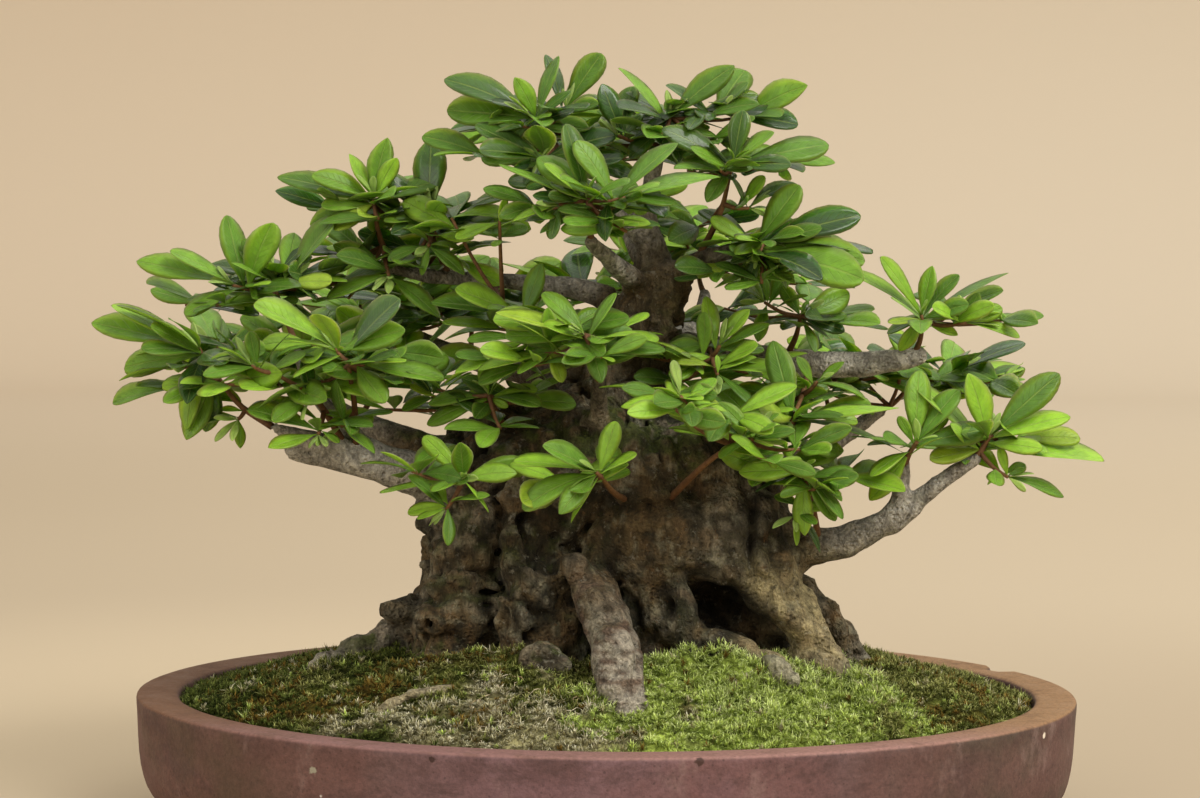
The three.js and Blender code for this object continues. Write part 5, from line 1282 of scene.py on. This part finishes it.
class Spray:
    """Gathers the leaves and twigs of one leafy spray."""

    def __init__(self, name):
        self.name = name
        self.draw = seeded(sum(ord(letter) * (place + 3) for place, letter in enumerate(name)))
        self.points, self.faces, self.slots, self.tints, self.places = [], [], [], [], []
        self.count = 0
        self.youth_and_light = YOUTH_AND_LIGHT.get(name, OTHER_YOUTH)
        self.lowest = LOWEST.get(name, 0)
        self.sparse = name in SPARSE
        self.inner_shoots = INNER_SHOOTS - (name in AIRY) - self.sparse

    def add(self, points, faces, slot, tints, places):
        self.points.append(points)
        self.faces += [tuple(int(index) + self.count for index in face) for face in faces]
        self.slots += [slot] * len(faces)
        self.tints.append(tints)
        self.places.append(places)
        self.count += len(points)

    def leaf(self, base, leaf, lowest=0):
        """Adds a leaf, unless it would hang too low or reach past the back or the front of the pot."""
        s, _, _, t, side, faces = PATTERN
        points = leaf_points(base, leaf)
        if np.abs(points[:, 1]).max() > POT_HALF_Y + 2 or points[:, 2].min() < lowest:
            return
        colour = leaf_tint(leaf, self.draw, self.youth_and_light)
        gloss = ramp(-colour[1], -0.15, -0.08) * (0.3 + 0.7 * self.draw())
        tint = np.tile([*colour, gloss], (len(s), 1))
        self.add(points, faces, 0, tint, np.column_stack([s, t * 0.5 + 0.5, side]))

    def twig(self, path, radii, sides=7):
        points, faces = tube(path, radii, sides)
        tint = mix_rows(linear(96, 66, 42), linear(122, 88, 52), np.linspace(0, 1, len(points)))
        tint = np.column_stack([tint, np.zeros(len(points))])
        self.add(points, faces, 1, tint, np.zeros((len(points), 3)))

    def shoot(self, path, room, leaves, extra):
        """Leaves round the end of a twig: the ones copied from the photo, then fillers between them."""
        forward = path[-1] - path[-2]
        forward = forward / (np.linalg.norm(forward) + 1e-9)
        kept = [leaf for leaf in leaves if leaf[2] >= SHORTEST_LEAF]
        kept.sort(key=lambda leaf: -float(np.dot(leaf_direction(leaf[0], leaf[1]), forward)))
        step = min(LEAF_STEP, room / max(1, len(kept)))
        for place, item in enumerate(kept):
            base = back_along(path, step * (place + 0.3))
            self.leaf(base, make_leaf(*item, self.draw, shape=leaf_shape(*item)))
        for item in leaves:
            if item[2] < SHORTEST_LEAF:
                self.leaf(back_along(path, 3 * self.draw()), make_leaf(*item, self.draw))
        self.fill(path, leaves, extra)
        self.bud(path[-1], forward)

    def fill(self, path, leaves, extra):
        """More leaves of the whorl, spread level round the shoot as the real ones are."""
        longest = max((leaf[2] for leaf in leaves), default=26)
        first = 360 * self.draw()
        for place in range(extra):
            angle = math.radians(first + 137.5 * place + 30 * (self.draw() - 0.5))
            rise = 0.75 * self.draw() - 0.12
            turn, lean = aim_angles(np.array([math.cos(angle), math.sin(angle), rise]))
            length = min(34, longest) * (0.62 + 0.34 * self.draw())
            base = back_along(path, 1.5 + 7 * self.draw())
            self.leaf(base, make_leaf(turn, lean, length, self.draw), self.lowest)

    def bud(self, tip, forward):
        """The young, narrow, silvery leaves in the middle of a whorl."""
        for _ in range(2 + int(3 * self.draw())):
            aim = np.array([self.draw() - 0.5, self.draw() - 0.7, self.draw() - 0.3]) * 1.5
            turn, lean = aim_angles(forward + aim)
            length = 7 + 8 * self.draw()
            self.leaf(tip, make_leaf(turn, lean, length, self.draw, width=0.15, young=True))

    def inner_shoot(self, start, end, side):
        """A short side shoot behind or below a whorl, which fills the pad of foliage."""
        draw = self.draw
        sway = (-15, 15, 0)[side] + (draw() - 0.5) * 16
        depth = (9 + 15 * draw()) * (1 if side < 2 else -0.3) * (1 if end[1] < 60 else -1)
        drop = -10 + 12 * draw() - (5 if side == 2 else 0)
        tip = end + np.array([sway, depth, drop])
        if tip[2] < self.lowest + 4:
            return
        middle = (start + tip) / 2 - np.array([0, 0, 2.0])
        self.twig(curve_points([start, middle, tip], 5), [1.0, 0.7], 6)
        first = 360 * draw()
        size = 19 if side < 2 else 13
        for place in range(7):
            angle = math.radians(first + 51 * place + 24 * (draw() - 0.5))
            turn, lean = aim_angles(np.array([math.cos(angle), math.sin(angle), 0.75 * draw() - 0.15]))
            base = tip + (middle - tip) * 0.07 * place
            self.leaf(base, make_leaf(turn, lean, size + 12 * draw(), draw), self.lowest)

    def finish(self, materials):
        points = np.concatenate(self.points)
        name, node = "leaves_" + self.name, "spray_" + self.name
        piece = mesh_piece(name, points, self.faces, materials, [node], slots=self.slots)
        paint(piece, "tint", np.concatenate(self.tints))
        paint(piece, "place", np.concatenate(self.places))


def grow(name, stem_points, shoots):
    """One leafy spray: its stem, a twig to each shoot, and a whorl of leaves round each."""
    spray = Spray(name)
    stem = curve_points(stem_points, 9)
    spray.twig(stem, [TWIG_BASE, 0.5 * (TWIG_BASE + TWIG_TIP), TWIG_TIP])
    stem_length = float(np.sum(np.linalg.norm(np.diff(stem, axis=0), axis=1)))
    candidates = curve_points(stem_points, 20)[7:]
    for x, y, z, leaves in shoots:
        end = np.array([x, y, z], dtype=float)
        start = candidates[int(np.argmin(np.linalg.norm(candidates - end, axis=1)))]
        distance = float(np.linalg.norm(start - end))
        bent = [start, (start + end) / 2 - np.array([0, 0, 0.08 * distance]), end]
        path, room = [start, end] if distance < 15 else bent, 0.85 * distance
        if distance < 3:
            path, room = list(stem[::3]), 0.6 * stem_length
        else:
            spray.twig(curve_points(bent, 5), [1.2, TWIG_TIP], 6)
        spray.shoot(path, room, leaves, 2 if spray.sparse else 5 if len(leaves) > 4 else 3)
        for side in range(max(0, min(spray.inner_shoots, len(leaves) - 2))):
            spray.inner_shoot(start, end, side)
    return spray


def whorl(out_x, out_y, draw):
    """Leaves of one whorl, spread round a shoot that points up and outward."""
    leaves = []
    first = 2 * math.pi * draw()
    for number in range(4):
        angle = first + 2 * math.pi * number / 4
        aim = np.array([math.cos(angle) + 0.5 * out_x, math.sin(angle) + 0.5 * out_y, 0.35 + 0.5 * draw()])
        leaves.append([*aim_angles(aim), 30 + 10 * draw()])
    return leaves


def grown_plan(name, root, pad, half, count, draw):
    """Shoots of a spray that grows by rule: spread through its pad, with whorls that face outward."""
    middle = [root[axis] + 0.5 * (pad[axis] - root[axis]) for axis in range(3)]
    middle[2] -= 3
    shoots = []
    for number in range(count):
        angle = 2.4 * number + draw()
        out = 0.45 + 0.5 * draw()
        out_x, out_y = math.cos(angle) * out, math.sin(angle) * out
        z = pad[2] + half[2] * (draw() - 0.3)
        shoots.append([pad[0] + half[0] * out_x, pad[1] + half[1] * out_y, z, whorl(out_x, out_y, draw)])
    return name, [root, middle, pad], shoots


def build_leaves():
    materials = [leaf_material(), twig_material()]
    draw = seeded(73)
    for plan in FRONT_SPRAYS + [grown_plan(*rule, draw) for rule in RULE_SPRAYS]:
        grow(*plan).finish(materials)


# Materials

class Shader:
    """A material with its principled shader, and short ways to add nodes to it."""

    def __init__(self, name, **sockets):
        self.material = bpy.data.materials.new(name)
        self.material.use_nodes = True
        self.nodes = self.material.node_tree.nodes
        self.links = self.material.node_tree.links
        self.main = self.nodes["Principled BSDF"]
        for socket, value in sockets.items():
            self.main.inputs[socket.replace("_", " ")].default_value = value

    def plug(self, socket, value):
        """Links an output to a socket, or sets the socket's own value."""
        if hasattr(value, "is_output"):
            self.links.new(value, socket)
        elif value is not None:
            socket.default_value = (*value, 1) if isinstance(value, tuple) and len(value) == 3 else value

    def node(self, kind, settings=None, inputs=None, output=0):
        """Adds a node, sets it up, fills its sockets by name or number, and gives one of its outputs."""
        node = self.nodes.new("ShaderNode" + kind)
        for setting, value in (settings or {}).items():
            setattr(node, setting, value)
        for socket, value in (inputs or {}).items():
            self.plug(node.inputs[socket], value)
        return node.outputs[output]

    def place(self):
        return self.node("TexCoord", output="Object")

    def stretched(self, z_scale):
        """Places drawn out along the height for a low scale, and pressed together for a high one."""
        return self.node("Mapping", None, {"Scale": [1.0, 1.0, z_scale], "Vector": self.place()})

    def noise(self, scale, detail=3.0, rough=0.55, vector=None, bend=0.0):
        inputs = {"Scale": scale, "Detail": detail, "Roughness": rough, "Distortion": bend}
        return self.node("TexNoise", None, {**inputs, "Vector": vector or self.place()}, "Fac")

    def cells(self, scale, vector=None):
        return self.node("TexVoronoi", None, {"Scale": scale, "Vector": vector or self.place()}, "Distance")

    def attribute(self, name, output="Color"):
        return self.node("Attribute", {"attribute_name": name}, None, output)

    def split(self, value):
        node = self.nodes.new("ShaderNodeSeparateXYZ")
        self.links.new(value, node.inputs[0])
        return node.outputs

    def sum(self, kind, a, b=None, c=None):
        return self.node("Math", {"operation": kind}, {0: a, 1: b, 2: c})

    def step(self, value, low, high, to_low=0.0, to_high=1.0):
        """A share from to_low to to_high as the value goes from low to high, smoothed."""
        span = {"Value": value, "From Min": low, "From Max": high, "To Min": to_low, "To Max": to_high}
        return self.node("MapRange", {"interpolation_type": "SMOOTHSTEP"}, span, "Result")

    def mix(self, share, a, b, kind="MIX"):
        return self.node("Mix", {"data_type": "RGBA", "blend_type": kind}, {0: share, 6: a, 7: b}, 2)

    def coat(self, colour, share, strength, tint):
        """A colour with another laid over it where the share is high, up to a strength."""
        return self.mix(self.sum("MULTIPLY", share, strength), colour, tint)

    def grained(self, colour, grain, low, high, darkest, palest):
        """A colour made darker and paler by a grain that goes from low to high."""
        return self.mix(1.0, colour, self.step(grain, low, high, darkest, palest), "MULTIPLY")

    def bump(self, height, distance, strength=1.0):
        inputs = {"Strength": strength, "Distance": distance, "Height": height}
        return self.node("Bump", None, inputs, "Normal")

    def away(self):
        """How far a point lies from the middle of the floor."""
        return self.node("VectorMath", {"operation": "LENGTH"}, {0: self.place()}, "Value")

    def spot(self, place, centre, size):
        """A ragged spot round a point: 1 inside it and 0 outside."""
        inputs = {0: place, 1: [value * MM for value in centre]}
        gap = self.node("VectorMath", {"operation": "DISTANCE"}, inputs, "Value")
        ragged = self.sum("MULTIPLY_ADD", self.noise(420, 3), size * MM, gap)
        return self.step(ragged, size * MM * 1.25, size * MM)

    def finish(self, colour, roughness=None, normal=None):
        self.plug(self.main.inputs["Base Color"], colour)
        self.plug(self.main.inputs["Roughness"], roughness)
        self.plug(self.main.inputs["Normal"], normal)
        return self.material


def tinted_material(name, roughness):
    """Colour from the mesh's own tint, with slight grain."""
    shader = Shader(name, Roughness=roughness)
    return shader.finish(shader.grained(shader.attribute("tint"), shader.noise(900, 2), 0.3, 0.7, 0.8, 1.15))


def moss_material():
    """Moss: the mesh's own colours, broken up by tiny leaves too small to model."""
    shader = Shader("moss", Roughness=0.95, Specular_IOR_Level=0.1)
    leafy = shader.noise(700, 3, 0.7)
    colour = shader.grained(shader.attribute("tint"), shader.noise(70, 3), 0.3, 0.7, 0.86, 1.14)
    colour = shader.grained(colour, leafy, 0.35, 0.65, 0.55, 1.5)
    return shader.finish(colour, None, shader.bump(leafy, 0.0016, 0.8))


def soil_material():
    shader = Shader("soil", Roughness=0.95, Specular_IOR_Level=0.2)
    lumps = shader.noise(420, 4, 0.65)
    colour = shader.mix(shader.step(lumps, 0.35, 0.65), linear(58, 42, 26), linear(122, 92, 60))
    colour = shader.mix(shader.step(shader.noise(45, 3), 0.42, 0.6), colour, linear(54, 52, 26))
    return shader.finish(colour, None, shader.bump(lumps, 0.0025, 0.9))


def screen_material():
    shader = Shader("screen_plastic", Roughness=0.55)
    share = shader.step(shader.noise(300, 2), 0.35, 0.65)
    colour = shader.mix(share, linear(26, 27, 26), linear(38, 38, 36))
    return shader.finish(colour, None, shader.bump(shader.noise(900, 2), 0.0003, 0.4))


def bark_material():
    """The weathered wood: the mesh's own colours, with fibres that run along it and fine cracks."""
    shader = Shader("bark", Specular_IOR_Level=0.25)
    fibres = shader.noise(260, 5, 0.68, shader.stretched(0.5), 0.8)
    fine = shader.noise(900, 3, 0.6)
    colour = shader.grained(shader.attribute("bark"), fibres, 0.3, 0.72, 0.5, 1.45)
    colour = shader.grained(colour, fine, 0.3, 0.7, 0.74, 1.24)
    pale = shader.step(shader.noise(240, 5, 0.7), 0.58, 0.68)
    colour = shader.coat(colour, pale, 0.36, linear(168, 164, 146))
    dark = shader.step(shader.noise(170, 5, 0.72), 0.56, 0.66)
    dark = shader.sum("MULTIPLY", dark, shader.attribute("bark", "Alpha"))
    colour = shader.coat(colour, dark, 0.6, linear(34, 30, 20))
    rust = shader.step(shader.noise(210, 4, 0.7), 0.64, 0.7)
    colour = shader.coat(colour, rust, 0.4, linear(116, 84, 52))
    height = shader.sum("ADD", shader.sum("MULTIPLY", fibres, 1.0), shader.sum("MULTIPLY", fine, 0.25))
    height = shader.sum("MULTIPLY_ADD", shader.step(shader.cells(420), 0.1, 0.45), 0.3, height)
    return shader.finish(colour, shader.step(fine, 0.2, 0.8, 0.78, 0.95), shader.bump(height, 0.0032, 1.0))


def twig_material():
    shader = Shader("twig", Roughness=0.7, Specular_IOR_Level=0.3)
    rings = shader.noise(600, 3, 0.6)
    colour = shader.grained(shader.attribute("tint"), rings, 0.3, 0.7, 0.75, 1.2)
    return shader.finish(colour, None, shader.bump(rings, 0.0006, 0.6))


def leaf_material():
    """A leaf blade: its own tint, a pale midrib and side veins, a glossy face and a paler underside."""
    shader = Shader(
        "leaf", Subsurface_Weight=0.4, Subsurface_Scale=0.0016, Specular_IOR_Level=0.26, Coat_Roughness=0.12,
        Subsurface_Radius=(0.7, 1.0, 0.25),
    )
    s, side, under = shader.split(shader.attribute("place", "Vector"))
    across = shader.sum("ABSOLUTE", shader.sum("MULTIPLY_ADD", side, 2.0, -1.0))
    rib = shader.step(across, 0.02, 0.09, 1.0, 0.0)
    slant = shader.sum("MULTIPLY_ADD", across, -2.4, shader.sum("MULTIPLY", s, 11.0))
    wave = shader.sum("PINGPONG", slant, 0.5)
    vein = shader.sum("MULTIPLY", shader.step(wave, 0.0, 0.1, 1.0, 0.0), shader.step(across, 0.85, 0.4))
    below = shader.step(under, 0.6, 0.9)
    colour = shader.grained(shader.attribute("tint"), shader.noise(160, 3, 0.6), 0.3, 0.7, 0.82, 1.18)
    colour = shader.coat(colour, vein, 0.1, linear(142, 164, 92))
    colour = shader.coat(colour, rib, 0.34, linear(146, 166, 84))
    colour = shader.coat(colour, below, 0.5, linear(122, 142, 76))
    colour = shader.coat(colour, shader.step(across, 0.82, 1.0), 0.3, linear(120, 132, 62))
    height = shader.sum("ADD", shader.sum("MULTIPLY", rib, -1.0), shader.sum("MULTIPLY", vein, -0.45))
    height = shader.sum("MULTIPLY_ADD", shader.noise(500, 2), 0.5, height)
    rough = shader.sum("MULTIPLY_ADD", below, 0.25, shader.step(shader.noise(90, 2), 0.3, 0.7, 0.34, 0.5))
    gloss = shader.sum("MULTIPLY_ADD", shader.attribute("tint", "Alpha"), 0.6, 0.02)
    shader.plug(shader.main.inputs["Coat Weight"], gloss)
    return shader.finish(colour, rough, shader.bump(height, 0.0005, 0.7))


# Lime flecks and stains on the wall of the pot: place, size and colour
POT_SPOTS = [
    ((-178.9, -71.6, 41.8), 1.6, linear(214, 204, 192)),
    ((-113.8, -131.6, 44.6), 3.4, linear(150, 146, 128)),
    ((-110.5, -133.3, 35.2), 2.6, linear(232, 228, 222)),
    ((177.2, -74.2, 51.0), 2.4, linear(226, 214, 196)),
    ((-66.6, -150.9, 53.2), 2.2, linear(60, 40, 36)),
    ((35.0, -157.5, 54.6), 3.0, linear(66, 44, 38)),
]


def pot_material():
    """Unglazed stoneware: purple brown, tan on the rim, with dark stains, dust and white flecks."""
    shader = Shader("stoneware", Specular_IOR_Level=0.35)
    place = shader.place()
    x, y, z = shader.split(place)
    broad = shader.noise(13, 4, 0.6)
    middle = shader.noise(55, 5, 0.66)
    fine = shader.noise(520, 4, 0.7)

    colour = shader.mix(shader.step(x, -0.15, -0.03), linear(83, 63, 51), linear(114, 86, 90))
    colour = shader.mix(shader.step(x, 0.05, 0.14), colour, linear(79, 66, 56))
    colour = shader.coat(colour, shader.step(broad, 0.42, 0.6), 0.6, linear(108, 74, 70))
    streak = shader.noise(26, 5, 0.7, shader.stretched(2.6), 0.4)
    colour = shader.coat(colour, shader.step(streak, 0.52, 0.66), 0.5, linear(72, 52, 50))
    band = shader.sum("MULTIPLY", shader.step(z, 0.041, 0.05), shader.step(middle, 0.42, 0.6))
    colour = shader.coat(colour, band, 0.4, linear(76, 54, 50))
    pale = shader.step(shader.noise(34, 5, 0.72, shader.stretched(0.5)), 0.56, 0.72)
    colour = shader.coat(colour, pale, 0.4, linear(146, 122, 116))

    tan = shader.mix(shader.step(x, -0.17, 0.14), linear(102, 69, 46), linear(138, 105, 71))
    pink = shader.mix(shader.step(x, -0.1, 0.1), linear(126, 92, 88), linear(143, 107, 99))
    top = shader.mix(shader.step(y, -0.14, -0.06), pink, tan)
    top = shader.coat(top, shader.step(middle, 0.5, 0.66), 0.45, linear(92, 68, 54))
    colour = shader.mix(shader.step(z, 0.0546, 0.0557), colour, top)

    colour = shader.coat(colour, shader.step(z, 0.024, 0.004), 0.5, linear(84, 60, 44))
    colour = shader.grained(colour, fine, 0.28, 0.72, 0.8, 1.18)
    colour = shader.coat(colour, shader.step(shader.cells(330), 0.2, 0.1), 0.35, linear(44, 32, 28))
    fleck = shader.step(shader.cells(80, shader.stretched(1.3)), 0.06, 0.04)
    colour = shader.coat(colour, fleck, shader.step(shader.noise(30, 2), 0.6, 0.66), linear(200, 186, 170))
    for centre, size, tint in POT_SPOTS:
        colour = shader.mix(shader.spot(place, centre, size), colour, tint)
    height = shader.sum("MULTIPLY_ADD", middle, 1.2, shader.sum("MULTIPLY", fine, 0.35))
    return shader.finish(colour, shader.step(middle, 0.3, 0.7, 0.6, 0.85), shader.bump(height, 0.0012, 0.6))


# The plain backdrop from left to right: its wall, the floor further off, and the floor near the pot. Their
# tones carry painted light and shade: the far floor is darker than the wall, and the near floor is paler on
# the left, where the pot's shadow falls, and darker on the right, where the window's light pools
WALL_COLOURS = (linear(195, 180, 158), linear(200, 188, 168))
TABLE_COLOURS = (linear(170, 155, 132), linear(182, 168, 145))
NEAR_COLOURS = (linear(194, 178, 151), linear(168, 153, 131))


def paper_material():
    """The plain backdrop, on floor and wall, with painted light and shade in its tones."""
    shader = Shader("backdrop", Roughness=0.95, Specular_IOR_Level=0.1)
    across = shader.sum("MULTIPLY_ADD", shader.noise(0.6, 2), 0.3, shader.split(shader.place())[0])
    wall = shader.mix(shader.step(across, -1.1, 1.3), *WALL_COLOURS)
    # Painted shade: the floor further off is darker than the wall, to even out the stronger light on it
    table = shader.mix(shader.step(across, -0.8, 1.0), *TABLE_COLOURS)
    # Painted light and shade on the near floor: paler on the left in the pot's shadow, darker on the right
    # under the window
    near = shader.mix(shader.step(across, -0.3, 0.6), *NEAR_COLOURS)
    away = shader.away()
    floor = shader.mix(shader.step(away, 0.28, 0.85), near, table)
    return shader.finish(shader.mix(shader.step(away, 1.3, 3.4), floor, wall))


# Backdrop, camera and light

def build_backdrop():
    """A round sheet that lies under the pot and curves up to a low wall on every side."""
    profile = [(0.02, 0.0), (0.6, 0.0), (1.6, 0.0), (SHEET_REACH, 0.0)]
    for step in range(1, 17):
        angle = math.pi / 2 * step / 16
        profile.append((SHEET_REACH + SHEET_CURVE * math.sin(angle), SHEET_CURVE * (1 - math.cos(angle))))
    profile.append((SHEET_REACH + SHEET_CURVE, SHEET_HEIGHT))
    points = []
    for out, z in profile:
        for side in range(SHEET_SIDES):
            angle = 2 * math.pi * side / SHEET_SIDES
            points.append((out * math.cos(angle) / MM, out * math.sin(angle) / MM, z / MM))
    faces = closed_faces(len(profile), SHEET_SIDES)[:-1]
    mesh_piece("backdrop", points, faces, [paper_material()], None)


def build_camera():
    pitch, roll = math.radians(CAMERA_PITCH), math.radians(CAMERA_ROLL)
    forward = Vector((0, math.cos(pitch), -math.sin(pitch)))
    up = Vector((0, math.sin(pitch), math.cos(pitch)))
    right = Vector((1, 0, 0))
    right_turned = right * math.cos(roll) + up * math.sin(roll)
    up_turned = up * math.cos(roll) - right * math.sin(roll)
    lens = bpy.data.cameras.new("camera")
    lens.lens = CAMERA_LENS
    lens.sensor_width = 36
    lens.clip_start = 0.05
    lens.clip_end = 30
    camera = bpy.data.objects.new("camera", lens)
    bpy.context.scene.collection.objects.link(camera)
    turned = Matrix((right_turned, up_turned, -forward)).transposed().to_4x4()
    place = (Vector(CAMERA_AIM) - forward * CAMERA_DISTANCE) * MM
    camera.matrix_world = Matrix.Translation(place) @ turned
    bpy.context.scene.camera = camera


def area_light(name, place, target, size, power, colour):
    light = bpy.data.lights.new(name, "AREA")
    light.shape = "DISK"
    light.size = size
    light.energy = power
    light.color = colour
    lamp = bpy.data.objects.new(name, light)
    bpy.context.scene.collection.objects.link(lamp)
    aim = Vector(target) - Vector(place)
    lamp.matrix_world = Matrix.Translation(Vector(place)) @ aim.to_track_quat("-Z", "Y").to_matrix().to_4x4()


def build_light():
    """A large soft window above and to the right of the viewer, a weak fill, and an even room."""
    area_light("window", (1.25, -1.05, 1.75), (0, 0, 0.18), 1.5, KEY_POWER, (1.0, 0.97, 0.92))
    area_light("fill", (-1.7, -1.5, 0.9), (0, 0, 0.15), 1.6, FILL_POWER, (1.0, 0.96, 0.9))
    area_light("wall_light", (0.3, 1.3, 2.2), (0.3, 3.5, 0.3), 1.6, WALL_POWER, (1.0, 0.97, 0.93))
    world = bpy.data.worlds.new("room")
    world.use_nodes = True
    shade = world.node_tree.nodes["Background"]
    shade.inputs["Color"].default_value = (1.0, 0.955, 0.89, 1)
    shade.inputs["Strength"].default_value = ROOM_LIGHT
    bpy.context.scene.world = world


def main():
    bpy.context.scene.view_settings.view_transform = "Standard"
    grid = wood_grid()
    build_tree(grid)
    build_pot()
    build_soil()
    build_grains(grid)
    build_moss(grid)
    build_strands(grid)
    build_leaves()
    plastic = screen_material()
    for name in ("drain_screen_left", "drain_screen_right"):
        for place in bpy.data.objects[name].material_slots:
            place.material = plastic
    build_backdrop()
    build_light()
    build_camera()


main()
